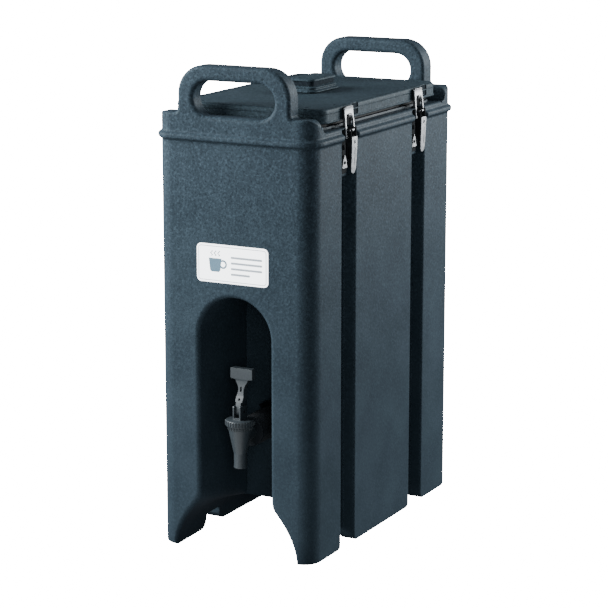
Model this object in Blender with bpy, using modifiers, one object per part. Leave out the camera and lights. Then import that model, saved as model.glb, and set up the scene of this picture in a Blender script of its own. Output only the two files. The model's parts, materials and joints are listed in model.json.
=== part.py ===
"""Upright insulated beverage server: a double-walled, foam-filled plastic body with a handle at each
end, an arched tap recess in front, a lift-off lid held by four draw latches, a vent cap in the lid
and a self-closing tap.

The frame: +Z up, -Y is the tap side, the origin is on the floor under the middle of the body.
"""

import math

import bmesh
import bpy
from mathutils import Matrix, Vector

MM = 0.001
COLLECTION = "insulated_beverage_server"

# Body walls, measured to the flat faces below the bead.
HALF_X = 109.9 * MM
HALF_Y = 204.9 * MM
CORNER_R = 23.0 * MM
SKIN = 3.5 * MM  # thickness of the moulded outer skin
GAP = 0.3 * MM  # clearance between pieces that meet

# The bead that runs round the body below the rim.
BEAD_Z = 527.5 * MM
BEAD_HALF = 5.0 * MM
BEAD_PROUD = 4.6 * MM

# Rim, shoulders and end handles.
RIM_Z = 539.0 * MM
SHOULDER_Z = 557.0 * MM
SHOULDER_R = 12.0 * MM
TOP_Z = 616.0 * MM
HANDLE_HALF = 78.0 * MM
HANDLE_R = 36.0 * MM
HANDLE_ROOT_R = 5.0 * MM
GRIP_HALF = 56.5 * MM
GRIP_LOW, GRIP_HIGH = 554.0 * MM, 597.0 * MM
SADDLE_FRONT, SADDLE_REAR = -179.0 * MM, 176.0 * MM
SADDLE_R = 8.0 * MM

# Vertical grooves in the long sides, one for each latch.
GROOVES = ((-126.0 * MM, -90.0 * MM), (76.0 * MM, 112.0 * MM))
GROOVE_FLOOR = 93.0 * MM  # distance of the groove floor from the middle plane
GROOVE_EDGE_R = 3.5 * MM
GROOVE_ROOT_R = 3.0 * MM
NOTCH_Z = 19.0 * MM  # height of the opening at the foot of each groove
FOOT_R = 13.0 * MM

# Tap recess and the open underside.
RECESS_HALF = 50.5 * MM
RECESS_SPRING_Z = 280.0 * MM
RECESS_BACK = -82.0 * MM
UNDER_HALF = 89.5 * MM
UNDER_Z = 39.0 * MM
ROOM_Z = 44.0 * MM  # the lowest level of the foam-filled room
UNDER_REAR = 187.0 * MM
FLARE_HALF = 85.5 * MM
FLARE_Z = 70.0 * MM

# Inner tank.
TANK_HALF = 81.0 * MM
TANK_Y = 181.0 * MM
TANK_FRONT_LOW = -62.0 * MM
TANK_LOW, TANK_STEP, TANK_HIGH = 103.0 * MM, 342.0 * MM, 516.0 * MM
TANK_SKIN = 3.0 * MM
NECK_X, NECK_FRONT, NECK_REAR = 79.5 * MM, -163.0 * MM, 159.0 * MM
NECK_R = 20.0 * MM
TANK_FLANGE_X, TANK_FLANGE_FRONT, TANK_FLANGE_REAR = 98.0 * MM, -169.5 * MM, 166.5 * MM
TANK_FLANGE_THICK = 3.0 * MM

# Lid.
LID_HALF = 105.5 * MM
LID_FRONT, LID_REAR = -171.0 * MM, 163.0 * MM
LID_LOW, LID_TOP = 548.0 * MM, 566.0 * MM
LID_R = 16.0 * MM
LID_SKIN = 3.5 * MM
PLUG_HALF, PLUG_FRONT, PLUG_REAR = 74.0 * MM, -157.0 * MM, 153.0 * MM
PLUG_LOW = 522.0 * MM
LID_NOTCH = (13.5 * MM, 30.0 * MM)  # a slot in the lid's rim behind each keeper

# Vent cap.
VENT_Y = 5.0 * MM
VENT_HALF_X, VENT_HALF_Y = 18.5 * MM, 34.0 * MM
VENT_HIGH = 585.0 * MM
VENT_BORE_R = 9.0 * MM
VENT_STEM_R = 8.0 * MM

# Label plate.
LABEL_X, LABEL_Z = -1.5 * MM, 373.0 * MM
LABEL_HALF_X, LABEL_HALF_Z = 50.0 * MM, 24.0 * MM
LABEL_R = 6.0 * MM

# Tap. Its outlet axis is vertical at TAP_Y; its shank runs back through the wall at SHANK_Z.
TAP_Y = -190.3 * MM
SHANK_Z = 152.0 * MM
SHANK_R = 12.7 * MM
SLEEVE_R = 19.5 * MM  # the thick threaded stretch between the bowl and the wall
TAP_FLANGE_R = 25.0 * MM
SHANK_END = -40.0 * MM
TAP_TIP_Z = 111.0 * MM
TAP_RIM_Z = 168.0 * MM
TAP_PIN_Z = 184.0 * MM
TAP_EAR_FRONT = -199.5 * MM
TAP_EAR_REAR = -183.0 * MM
TAP_EAR_TOP = 191.8 * MM
PADDLE_TOP = 238.0 * MM
PADDLE_FACE = -187.0 * MM  # the paddle leans back from its pin
PADDLE_BACK = -178.6 * MM

# Draw latches.
LATCH_Y = {"front": -108.0 * MM, "rear": 94.0 * MM}
SIDES = {"right": 1, "left": -1}
PAD_X = 100.0 * MM  # the groove floor is raised to this behind each latch
PAD_Z = (476.0 * MM, 536.0 * MM)
LEVER_PIVOT = (114.0 * MM, 535.5 * MM)
BAIL_PIVOT = (111.5 * MM, 527.5 * MM)
LEVER_OUT = 117.4 * MM
LEVER_LOW = 481.5 * MM
LEVER_HALF = 7.5 * MM
SHEET = 1.3 * MM
PIN_R = 1.6 * MM


def clear_scene():
    for obj in list(bpy.data.objects):
        bpy.data.objects.remove(obj)


def collection(name):
    made = bpy.data.collections.new(name)
    bpy.context.scene.collection.children.link(made)
    return made


clear_scene()
PARTS = collection(COLLECTION)
CUTTERS = collection("cutters")
CUTTERS.hide_render = True


def material(name, color, roughness, metallic=0.0):
    made = bpy.data.materials.new(name)
    made.use_nodes = True
    shader = made.node_tree.nodes["Principled BSDF"]
    shader.inputs["Base Color"].default_value = (*color, 1.0)
    shader.inputs["Roughness"].default_value = roughness
    shader.inputs["Metallic"].default_value = metallic
    made.diffuse_color = (*color, 1.0)
    return made


BODY_PLASTIC = material("body_plastic", (0.035, 0.048, 0.056), 0.5)
LID_PLASTIC = material("lid_plastic", (0.04, 0.053, 0.06), 0.5)
TANK_PLASTIC = material("tank_plastic", (0.05, 0.06, 0.066), 0.45)
FOAM = material("foam", (0.78, 0.7, 0.5), 0.9)
SILICONE = material("silicone", (0.55, 0.55, 0.53), 0.5)
LABEL_WHITE = material("label_white", (0.8, 0.82, 0.84), 0.3)
TAP_BLACK = material("tap_black", (0.012, 0.014, 0.016), 0.2)
STEEL = material("latch_steel", (0.56, 0.58, 0.6), 0.35, 1.0)
DARK_STEEL = material("latch_dark_steel", (0.08, 0.085, 0.09), 0.4, 1.0)


# ---------------------------------------------------------------- shape helpers


def arc(cx, cy, radius, start, end, steps):
    """Points on an arc from start to end, in degrees."""
    angles = [math.radians(start + (end - start) * i / steps) for i in range(steps + 1)]
    return [(cx + radius * math.cos(a), cy + radius * math.sin(a)) for a in angles]


def rounded_rect(x0, x1, y0, y1, radius, steps=4):
    return (
        arc(x1 - radius, y0 + radius, radius, -90, 0, steps)
        + arc(x1 - radius, y1 - radius, radius, 0, 90, steps)
        + arc(x0 + radius, y1 - radius, radius, 90, 180, steps)
        + arc(x0 + radius, y0 + radius, radius, 180, 270, steps)
    )


def add(name, mesh, mat=None):
    """Puts a mesh in the scene, as a part if it has a material and as a cutter if not."""
    obj = bpy.data.objects.new(name, mesh)
    if mat:
        PARTS.objects.link(obj)
        mesh.materials.append(mat)
        mesh.shade_smooth()
        mesh.set_sharp_from_angle(angle=math.radians(30))
    else:
        CUTTERS.objects.link(obj)
        obj.hide_render = True
        obj.display_type = "WIRE"
    return obj


def mesh_of(bm, name):
    bmesh.ops.recalc_face_normals(bm, faces=bm.faces)
    mesh = bpy.data.meshes.new(name)
    bm.to_mesh(mesh)
    bm.free()
    return mesh


def lofted(name, sections, mat=None):
    """A closed skin through rings with the same number of points, capped at both ends."""
    bm = bmesh.new()
    rings = [[bm.verts.new(p) for p in section] for section in sections]
    count = len(rings[0])
    for low, high in zip(rings, rings[1:]):
        for i in range(count):
            j = (i + 1) % count
            bm.faces.new((low[i], low[j], high[j], high[i]))
    ends = [bm.faces.new(rings[0][::-1]), bm.faces.new(rings[-1])]
    bmesh.ops.triangulate(bm, faces=[f for f in bm.faces if f not in ends])
    return add(name, mesh_of(bm, name), mat)


# How a flat outline (u, v) and a depth w lie in space, for each direction of extrusion.
PLACES = {
    "X": Matrix(((0, 0, 1, 0), (1, 0, 0, 0), (0, 1, 0, 0), (0, 0, 0, 1))),
    "Y": Matrix(((1, 0, 0, 0), (0, 0, 1, 0), (0, 1, 0, 0), (0, 0, 0, 1))),
    "Z": Matrix.Identity(4),
}


def slab(name, outline, low, high, axis="Z", mat=None):
    """A flat outline extruded along an axis: u, v are Y, Z for X; X, Z for Y; and X, Y for Z."""
    bm = bmesh.new()
    face = bm.faces.new([bm.verts.new((u, v, low)) for u, v in outline])
    grown = bmesh.ops.extrude_face_region(bm, geom=[face])
    raised = [v for v in grown["geom"] if isinstance(v, bmesh.types.BMVert)]
    bmesh.ops.translate(bm, vec=(0, 0, high - low), verts=raised)
    bmesh.ops.transform(bm, matrix=PLACES[axis], verts=bm.verts)
    return add(name, mesh_of(bm, name), mat)


def box(name, low, high, mat=None, round_edges=0.0, steps=2):
    bm = bmesh.new()
    bmesh.ops.create_cube(bm, size=1.0)
    size = [b - a for a, b in zip(low, high)]
    middle = [(a + b) / 2 for a, b in zip(low, high)]
    bmesh.ops.scale(bm, vec=size, verts=bm.verts)
    bmesh.ops.translate(bm, vec=middle, verts=bm.verts)
    obj = add(name, mesh_of(bm, name), mat)
    if round_edges:
        bevel = obj.modifiers.new("round_edges", "BEVEL")
        bevel.width = round_edges
        bevel.segments = steps
    return obj


def rod(name, start, end, radius, mat=None, end_radius=None, sides=24):
    """A cylinder, or a cone with end_radius, from start to end."""
    start, end = Vector(start), Vector(end)
    bm = bmesh.new()
    bmesh.ops.create_cone(
        bm,
        cap_ends=True,
        segments=sides,
        radius1=radius,
        radius2=radius if end_radius is None else end_radius,
        depth=(end - start).length,
    )
    turn = (end - start).to_track_quat("Z", "Y").to_matrix().to_4x4()
    bmesh.ops.transform(bm, matrix=Matrix.Translation((start + end) / 2) @ turn, verts=bm.verts)
    return add(name, mesh_of(bm, name), mat)


def turned(name, profile, centre, mat=None, sides=32, closed=False):
    """A profile of (radius, height), top to bottom on its outer side, turned about a vertical
    axis. A closed profile makes a ring."""
    mesh = bpy.data.meshes.new(name)
    count = len(profile)
    edges = [(i, (i + 1) % count) for i in range(count if closed else count - 1)]
    mesh.from_pydata([(r, 0, h) for r, h in profile], edges, [])
    obj = add(name, mesh, mat)
    obj.location = centre
    screw = obj.modifiers.new("turn", "SCREW")
    screw.steps = screw.render_steps = sides
    screw.use_merge_vertices = True
    screw.merge_threshold = 0.00001
    return obj


def boolean(obj, operation, others):
    for other in others:
        made = obj.modifiers.new(f"{operation.lower()}_{other.name}", "BOOLEAN")
        made.operation = operation
        made.solver = "EXACT"
        made.object = other
    return obj


def cut(obj, *others):
    return boolean(obj, "DIFFERENCE", others)


def join(obj, *others):
    return boolean(obj, "UNION", others)


def at_level(points, z):
    return [(x, y, z) for x, y in points]


# ---------------------------------------------------------------- body outlines


def plan_outline(grow=0.0, skin=0.0):
    """The body seen from above, with its four grooves. grow moves the outer faces out, as at the
    bead; skin moves every face in by the same depth, as for the room inside the outer skin."""
    x = HALF_X + grow - skin
    y = HALF_Y + grow - skin
    corner = CORNER_R + grow - skin
    floor = GROOVE_FLOOR - skin
    edge = max(GROOVE_EDGE_R - skin, 0.5 * MM)
    root = GROOVE_ROOT_R + skin
    right = []
    for start, end in GROOVES:
        low, high = start - skin, end + skin
        right += arc(x - edge, low - edge, edge, 0, 90, 3)[:-1] + [(x - edge, low)]
        right += arc(floor + root, low + root, root, 270, 180, 2)
        right += arc(floor + root, high - root, root, 180, 90, 2)
        right += [(x - edge, high)] + arc(x - edge, high + edge, edge, 270, 360, 3)[1:]
    left = [(-px, py) for px, py in reversed(right)]
    return (
        arc(x - corner, -y + corner, corner, -90, 0, 6)
        + right
        + arc(x - corner, y - corner, corner, 0, 90, 6)
        + arc(-x + corner, y - corner, corner, 90, 180, 6)
        + left
        + arc(-x + corner, -y + corner, corner, 180, 270, 6)
    )


def bead_levels(steps=6):
    """(height, how far the wall stands out) through the bead, a half-round rib."""
    levels = []
    for i in range(steps + 1):
        a = math.pi * i / steps
        levels.append((BEAD_Z - BEAD_HALF * math.cos(a), BEAD_PROUD * math.sin(a)))
    return levels


def front_silhouette():
    """The body and its handle seen from the front."""
    far = HALF_X + 20 * MM
    half = [(far, -20 * MM), (far, SHOULDER_Z - SHOULDER_R)]
    half += arc(HALF_X - SHOULDER_R, SHOULDER_Z - SHOULDER_R, SHOULDER_R, 0, 90, 4)
    half += arc(
        HANDLE_HALF + HANDLE_ROOT_R, SHOULDER_Z + HANDLE_ROOT_R, HANDLE_ROOT_R, 270, 180, 3
    )
    half += arc(HANDLE_HALF - HANDLE_R, TOP_Z - HANDLE_R, HANDLE_R, 0, 90, 8)
    return half + [(-x, z) for x, z in reversed(half)]


def arch(grow=0.0):
    """The tap recess seen from the front."""
    half = RECESS_HALF + grow
    bottom = -30 * MM
    return [(half, bottom)] + arc(0, RECESS_SPRING_Z, half, 0, 180, 16) + [(-half, bottom)]


def recess(name, grow=0.0):
    return slab(name, arch(grow), -HALF_Y - 40 * MM, RECESS_BACK + grow, "Y")


def underside(name, grow=0.0):
    """The hollow under the body. In front its roof rises and its sides lean in, as an arch."""
    front_power, back_power = 1.6, 6.0
    stations = [  # depth, half-width, height, power of the curve from side to roof
        (-HALF_Y - 30 * MM, FLARE_HALF, FLARE_Z, front_power),
        (-HALF_Y, FLARE_HALF, FLARE_Z, front_power),
        (RECESS_BACK, UNDER_HALF, UNDER_Z, back_power),
        (UNDER_REAR + grow, UNDER_HALF, UNDER_Z, back_power),
    ]
    steps = 8
    sections = []
    for y, width, height, power in stations:
        inner = RECESS_HALF - 4 * MM
        half = [(width + grow, y, -30 * MM)]
        for i in range(steps + 1):
            t = math.radians(90) * i / steps
            across = inner + (width + grow - inner) * math.cos(t) ** (2 / power)
            up = (height + grow) * math.sin(t) ** (2 / power)
            half.append((across, y, up))
        sections.append(half + [(-x, y, z) for x, y, z in reversed(half)])
    return lofted(name, sections)


def groove_notch(name, start, end, side):
    """The opening at the foot of a groove, with the rounded feet on either side of it."""
    below = -5 * MM
    outline = arc(start - FOOT_R, FOOT_R, FOOT_R, -90, 0, 4)
    outline += [(start, NOTCH_Z), (end, NOTCH_Z)]
    outline += arc(end + FOOT_R, FOOT_R, FOOT_R, 180, 270, 4)
    outline += [(end + FOOT_R, below), (start - FOOT_R, below)]
    low, high = sorted((side * (UNDER_HALF - 6 * MM), side * (HALF_X + 20 * MM)))
    return slab(name, outline, low, high, "X")


def grip(name, low_y, high_y):
    """The finger opening of a handle."""
    r = (GRIP_HIGH - GRIP_LOW) / 2
    outline = rounded_rect(-GRIP_HALF, GRIP_HALF, GRIP_LOW, GRIP_HIGH, r * 0.999, 6)
    return slab(name, outline, low_y, high_y, "Y")


def saddle(name):
    """The space between the two ends of the body, in which the lid lies."""
    high = TOP_Z + 20 * MM
    outline = [(SADDLE_REAR, high), (SADDLE_FRONT, high)]
    outline += arc(SADDLE_FRONT + SADDLE_R, RIM_Z + SADDLE_R, SADDLE_R, 180, 270, 4)
    outline += arc(SADDLE_REAR - SADDLE_R, RIM_Z + SADDLE_R, SADDLE_R, 270, 360, 4)
    return slab(name, outline, -HALF_X - 30 * MM, HALF_X + 30 * MM, "X")


def prism(name, outline, low, high, mat=None):
    return slab(name, outline, low, high, "Z", mat)


# ---------------------------------------------------------------- body


def outer_shell():
    levels = [(0.0, -3.5 * MM), (1.0 * MM, -1.6 * MM), (3.5 * MM, 0.0)]
    levels += bead_levels() + [(TOP_Z + 10 * MM, 0.0)]
    sections = [at_level(plan_outline(grow), z) for z, grow in levels]
    shell = lofted("outer_shell", sections, BODY_PLASTIC)
    silhouette = slab(
        "silhouette", front_silhouette(), -HALF_Y - 40 * MM, HALF_Y + 40 * MM, "Y"
    )
    boolean(shell, "INTERSECT", [silhouette])
    room = prism("skin_room", plan_outline(skin=SKIN), ROOM_Z, 519 * MM)
    cut(room, recess("recess_wall", SKIN), underside("underside_wall", SKIN))
    mouth_x, mouth_r = NECK_X + 3 * MM, NECK_R + 3 * MM
    mouth = prism(
        "mouth",
        rounded_rect(-mouth_x, mouth_x, NECK_FRONT - 3 * MM, NECK_REAR + 3 * MM, mouth_r),
        510 * MM,
        560 * MM,
    )
    cut(shell, saddle("saddle"), room, mouth, recess("recess"), underside("underside"))
    for place, (start, end) in zip(("front", "rear"), GROOVES):
        for side_name, side in SIDES.items():
            cut(shell, groove_notch(f"notch_{place}_{side_name}", start, end, side))
            low, high = sorted((side * (GROOVE_FLOOR - 2 * MM), side * PAD_X))
            pad = box(
                f"pad_{place}_{side_name}",
                (low, start - 1 * MM, PAD_Z[0]),
                (high, end + 1 * MM, PAD_Z[1]),
            )
            join(shell, pad)
    cut(
        shell,
        grip("grip_front", -HALF_Y - 30 * MM, SADDLE_FRONT + 10 * MM),
        grip("grip_rear", SADDLE_REAR - 10 * MM, HALF_Y + 30 * MM),
        rod(
            "shank_hole",
            (0, RECESS_BACK - 5 * MM, SHANK_Z),
            (0, TANK_FRONT_LOW, SHANK_Z),
            SHANK_R + 0.6 * MM,
        ),
        slab(
            "label_bed",
            rounded_rect(
                LABEL_X - LABEL_HALF_X - GAP,
                LABEL_X + LABEL_HALF_X + GAP,
                LABEL_Z - LABEL_HALF_Z - GAP,
                LABEL_Z + LABEL_HALF_Z + GAP,
                LABEL_R + GAP,
            ),
            -HALF_Y - 10 * MM,
            -HALF_Y + 1.0 * MM,
            "Y",
        ),
    )
    return shell


def tank_form(name, grow=0.0, mat=None, open_top=0.0):
    """The tank's outer form grown by grow: deep behind the recess, shallow above it, with a neck
    that rises open_top above the flange."""
    front, rear, step = -TANK_Y - grow, TANK_Y + grow, TANK_FRONT_LOW - grow
    low, ledge, high = TANK_LOW - grow, TANK_STEP - grow, TANK_HIGH + grow
    r, inner_r = 14 * MM + grow, 14 * MM - grow
    outline = arc(step + r, low + r, r, 180, 270, 4)
    outline += arc(rear - r, low + r, r, 270, 360, 4)
    outline += arc(rear - r, high - r, r, 0, 90, 4)
    outline += arc(front + r, high - r, r, 90, 180, 4)
    outline += arc(front + r, ledge + r, r, 180, 270, 4)
    outline += arc(step - inner_r, ledge - inner_r, inner_r, 90, 0, 4)
    form = slab(name, outline, -TANK_HALF - grow, TANK_HALF + grow, "X", mat)
    neck = prism(
        name + "_neck",
        rounded_rect(
            -NECK_X - grow, NECK_X + grow, NECK_FRONT - grow, NECK_REAR + grow, NECK_R + grow
        ),
        TANK_HIGH - 30 * MM,
        RIM_Z + GAP + 1 * MM + open_top,
    )
    return join(form, neck)


def tank():
    liner = tank_form("tank_liner", mat=TANK_PLASTIC)
    flange = prism(
        "tank_flange",
        rounded_rect(
            -TANK_FLANGE_X, TANK_FLANGE_X, TANK_FLANGE_FRONT, TANK_FLANGE_REAR, NECK_R + 6 * MM
        ),
        RIM_Z + GAP,
        RIM_Z + GAP + TANK_FLANGE_THICK,
    )
    join(liner, flange)
    hollow = tank_form("tank_hollow", -TANK_SKIN, open_top=20 * MM)
    hole = rod(
        "tank_shank_hole",
        (0, TANK_FRONT_LOW - 5 * MM, SHANK_Z),
        (0, TANK_FRONT_LOW + 10 * MM, SHANK_Z),
        SHANK_R + 0.6 * MM,
    )
    return cut(liner, hollow, hole)


def insulation():
    foam = prism(
        "insulation_foam",
        plan_outline(skin=SKIN + GAP),
        ROOM_Z + GAP,
        519 * MM - GAP,
        FOAM,
    )
    cut(
        foam,
        recess("foam_recess", SKIN + GAP),
        underside("foam_underside", SKIN + GAP),
        tank_form("foam_tank_room", GAP),
        rod(
            "foam_shank_hole",
            (0, RECESS_BACK, SHANK_Z),
            (0, TANK_FRONT_LOW + 5 * MM, SHANK_Z),
            SHANK_R + 1.5 * MM,
        ),
    )
    return foam


def label():
    return slab(
        "label_plate",
        rounded_rect(
            LABEL_X - LABEL_HALF_X,
            LABEL_X + LABEL_HALF_X,
            LABEL_Z - LABEL_HALF_Z,
            LABEL_Z + LABEL_HALF_Z,
            LABEL_R,
        ),
        -HALF_Y - 0.3 * MM,
        -HALF_Y + 1.0 * MM - GAP,
        "Y",
        LABEL_WHITE,
    )


# ---------------------------------------------------------------- lid


def lid_rect(inset):
    return rounded_rect(
        -LID_HALF + inset,
        LID_HALF - inset,
        LID_FRONT + inset,
        LID_REAR - inset,
        LID_R - inset / 2,
    )


def plug_rect(inset):
    return rounded_rect(
        -PLUG_HALF + inset, PLUG_HALF - inset, PLUG_FRONT + inset, PLUG_REAR - inset, 16 * MM
    )


def vent_bore(name, radius):
    return rod(name, (0, VENT_Y, 500 * MM), (0, VENT_Y, 600 * MM), radius)


def lid():
    crown = [(LID_LOW, 0.0), (LID_TOP - 3 * MM, 0.0), (LID_TOP - 1 * MM, 1 * MM), (LID_TOP, 3 * MM)]
    cover = lofted("lid_shell", [at_level(lid_rect(i), z) for z, i in crown], LID_PLASTIC)
    hollow = prism("lid_hollow", lid_rect(LID_SKIN), LID_LOW - 10 * MM, LID_TOP - LID_SKIN)
    cut(cover, hollow, vent_bore("lid_bore", VENT_BORE_R))
    for place, y in LATCH_Y.items():
        for side_name, side in SIDES.items():
            low, high = sorted((side * (LID_HALF - 2.2 * MM), side * (LID_HALF + 5 * MM)))
            notch = box(
                f"lid_notch_{place}_{side_name}",
                (low, y + LID_NOTCH[0], LID_LOW + 3 * MM),
                (high, y + LID_NOTCH[1], LID_TOP + 5 * MM),
            )
            cut(cover, notch)
    pan_low = LID_LOW + GAP
    pan_thick = 3 * MM
    pan = prism("lid_liner", lid_rect(LID_SKIN + GAP), pan_low, pan_low + pan_thick, TANK_PLASTIC)
    join(pan, prism("lid_plug", plug_rect(0), PLUG_LOW, pan_low + 1 * MM))
    cut(
        pan,
        prism("lid_plug_hollow", plug_rect(3 * MM), PLUG_LOW + 3 * MM, pan_low + 10 * MM),
        vent_bore("liner_bore", VENT_BORE_R),
    )
    foam = prism(
        "lid_foam",
        lid_rect(LID_SKIN + 2 * GAP),
        pan_low + pan_thick + GAP,
        LID_TOP - LID_SKIN - GAP,
        FOAM,
    )
    join(
        foam,
        prism("lid_foam_plug", plug_rect(3 * MM + GAP), PLUG_LOW + 3 * MM + GAP, pan_low + 8 * MM),
    )
    cut(foam, vent_bore("foam_bore", VENT_BORE_R))
    seal_low = RIM_Z + GAP + TANK_FLANGE_THICK + GAP
    seal = prism(
        "lid_gasket",
        rounded_rect(-94 * MM, 94 * MM, -168 * MM, 165 * MM, 22 * MM),
        seal_low,
        pan_low - GAP,
        SILICONE,
    )
    inner = rounded_rect(-84 * MM, 84 * MM, -161.5 * MM, 158 * MM, 18 * MM)
    cut(seal, prism("gasket_hole", inner, seal_low - 5 * MM, pan_low + 5 * MM))


def vent():
    low = LID_TOP + GAP
    stages = [(low, 4 * MM), (low + 6 * MM, 1 * MM), (low + 8 * MM, -1 * MM)]
    stages += [(VENT_HIGH - 5.5 * MM, -1 * MM), (VENT_HIGH - 5 * MM, 0.0)]
    stages += [(VENT_HIGH - 2 * MM, -0.8 * MM), (VENT_HIGH, -9 * MM)]
    sections = []
    for z, grow in stages:
        outline = rounded_rect(
            -VENT_HALF_X - grow,
            VENT_HALF_X + grow,
            VENT_Y - VENT_HALF_Y - grow,
            VENT_Y + VENT_HALF_Y + grow,
            max(9 * MM + grow, 1 * MM),
            3,
        )
        sections.append(at_level(outline, z))
    cap = lofted("vent_cap", sections, LID_PLASTIC)
    seat = turned(
        "vent_seat",
        [(10.2 * MM, 2 * MM), (15.2 * MM, 2 * MM), (15.2 * MM, -3 * MM), (10.2 * MM, -3 * MM)],
        (0, VENT_Y, low),
        closed=True,
    )
    stem = rod(
        "vent_stem", (0, VENT_Y, PLUG_LOW - 1 * MM), (0, VENT_Y, low + 5 * MM), VENT_STEM_R
    )
    join(cut(cap, seat), stem)
    ring = turned(
        "vent_gasket",
        [(10.5 * MM, 1.7 * MM), (14.9 * MM, 1.7 * MM), (14.9 * MM, 0), (10.5 * MM, 0)],
        (0, VENT_Y, low),
        SILICONE,
        closed=True,
    )
    return cap, ring


# ---------------------------------------------------------------- tap


def tap_valve():
    bowl = turned(
        "tap_body",
        [
            (0, TAP_RIM_Z),
            (15.7 * MM, TAP_RIM_Z),
            (14.9 * MM, 160.5 * MM),
            (8.2 * MM, 130 * MM),
            (8.2 * MM, TAP_TIP_Z),
            (0, TAP_TIP_Z),
        ],
        (0, TAP_Y, 0),
        TAP_BLACK,
    )
    face = RECESS_BACK - 3.7 * MM
    join(
        bowl,
        rod("tap_neck", (0, TAP_Y + 4 * MM, SHANK_Z), (0, -160 * MM, SHANK_Z), 10 * MM),
        rod("tap_sleeve", (0, -167 * MM, SHANK_Z), (0, face - 2 * MM, SHANK_Z), SLEEVE_R),
        rod(
            "tap_flange",
            (0, face - 4 * MM, SHANK_Z),
            (0, face, SHANK_Z),
            TAP_FLANGE_R,
            sides=32,
        ),
        rod("tap_shank", (0, face - 3 * MM, SHANK_Z), (0, SHANK_END, SHANK_Z), SHANK_R),
    )
    way = turned(
        "tap_way",
        [
            (0, TAP_RIM_Z + 5 * MM),
            (12.6 * MM, TAP_RIM_Z + 5 * MM),
            (12.6 * MM, 159 * MM),
            (8.4 * MM, 140 * MM),
            (8.4 * MM, 135.5 * MM),
            (6.2 * MM, 135.4 * MM),
            (6.2 * MM, TAP_TIP_Z - 5 * MM),
            (0, TAP_TIP_Z - 5 * MM),
        ],
        (0, TAP_Y, 0),
    )
    bore = rod("tap_bore", (0, TAP_Y, SHANK_Z), (0, SHANK_END + 5 * MM, SHANK_Z), 6.5 * MM)
    return cut(bowl, way, bore)


def tap_bonnet():
    """The knurled cap that screws down on the bowl, with two ears that hold the handle's pin."""
    low = TAP_RIM_Z + GAP
    cap = turned(
        "tap_bonnet",
        [
            (0, 174.5 * MM),
            (9 * MM, 174.5 * MM),
            (17.5 * MM, 173.9 * MM),
            (19.1 * MM, 172.8 * MM),
            (19.1 * MM, low - 2 * MM),
            (16.2 * MM, low - 2 * MM),
            (16.2 * MM, low),
            (0, low),
        ],
        (0, TAP_Y, 0),
        TAP_BLACK,
        sides=36,
    )
    outline = rounded_rect(TAP_EAR_FRONT, TAP_EAR_REAR, 170 * MM, TAP_EAR_TOP, 1.5 * MM, 3)
    ears = slab("tap_ears", outline, -5.7 * MM, 5.7 * MM, "X")
    slot = box(
        "tap_slot",
        (-3.7 * MM, TAP_Y - 20 * MM, 177 * MM),
        (3.7 * MM, TAP_Y + 20 * MM, 200 * MM),
    )
    hole = rod("tap_stem_hole", (0, TAP_Y, 150 * MM), (0, TAP_Y, 180 * MM), 3.4 * MM, sides=16)
    pin_hole = rod(
        "tap_pin_hole",
        (-20 * MM, TAP_Y, TAP_PIN_Z),
        (20 * MM, TAP_Y, TAP_PIN_Z),
        1.8 * MM,
        sides=12,
    )
    join(cap, ears)
    return cut(cap, slot, hole, pin_hole)


def tap_handle():
    """A thick paddle on a neck. Its hub turns on the pin between the bonnet's ears."""
    outline = [
        (3.4 * MM, TAP_PIN_Z - 6.4 * MM),
        (3.4 * MM, 195.8 * MM),
        (5.0 * MM, 197.2 * MM),
        (5.2 * MM, 202 * MM),
        (3.9 * MM, 208 * MM),
        (3.8 * MM, 212.5 * MM),
        (8.3 * MM, 221 * MM),
        (9.0 * MM, 223.6 * MM),
        (15.5 * MM, 224.6 * MM),
        (15.5 * MM, PADDLE_TOP),
    ]
    outline += [(-x, z) for x, z in reversed(outline)]
    front = slab("tap_handle", outline, TAP_Y - 15 * MM, TAP_Y + 20 * MM, "Y", TAP_BLACK)
    side = arc(TAP_Y, TAP_PIN_Z, 6 * MM, 180, 360, 8)
    side += [
        (-184.5 * MM, 192 * MM),
        (-182.5 * MM, 197 * MM),
        (-180.5 * MM, 203 * MM),
        (PADDLE_BACK - 0.9 * MM, 212 * MM),
        (PADDLE_BACK, 222 * MM),
        (PADDLE_BACK, PADDLE_TOP + 1 * MM),
        (PADDLE_FACE, PADDLE_TOP + 1 * MM),
        (PADDLE_FACE, 222.3 * MM),
        (PADDLE_FACE - 1 * MM, 212 * MM),
        (-190 * MM, 204 * MM),
        (-193.5 * MM, 197 * MM),
        (-196.2 * MM, 191 * MM),
    ]
    boolean(front, "INTERSECT", [slab("tap_handle_side", side, -30 * MM, 30 * MM, "X")])
    hole = rod(
        "tap_hub_hole",
        (-20 * MM, TAP_Y, TAP_PIN_Z),
        (20 * MM, TAP_Y, TAP_PIN_Z),
        1.8 * MM,
        sides=12,
    )
    return cut(front, hole)


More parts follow.
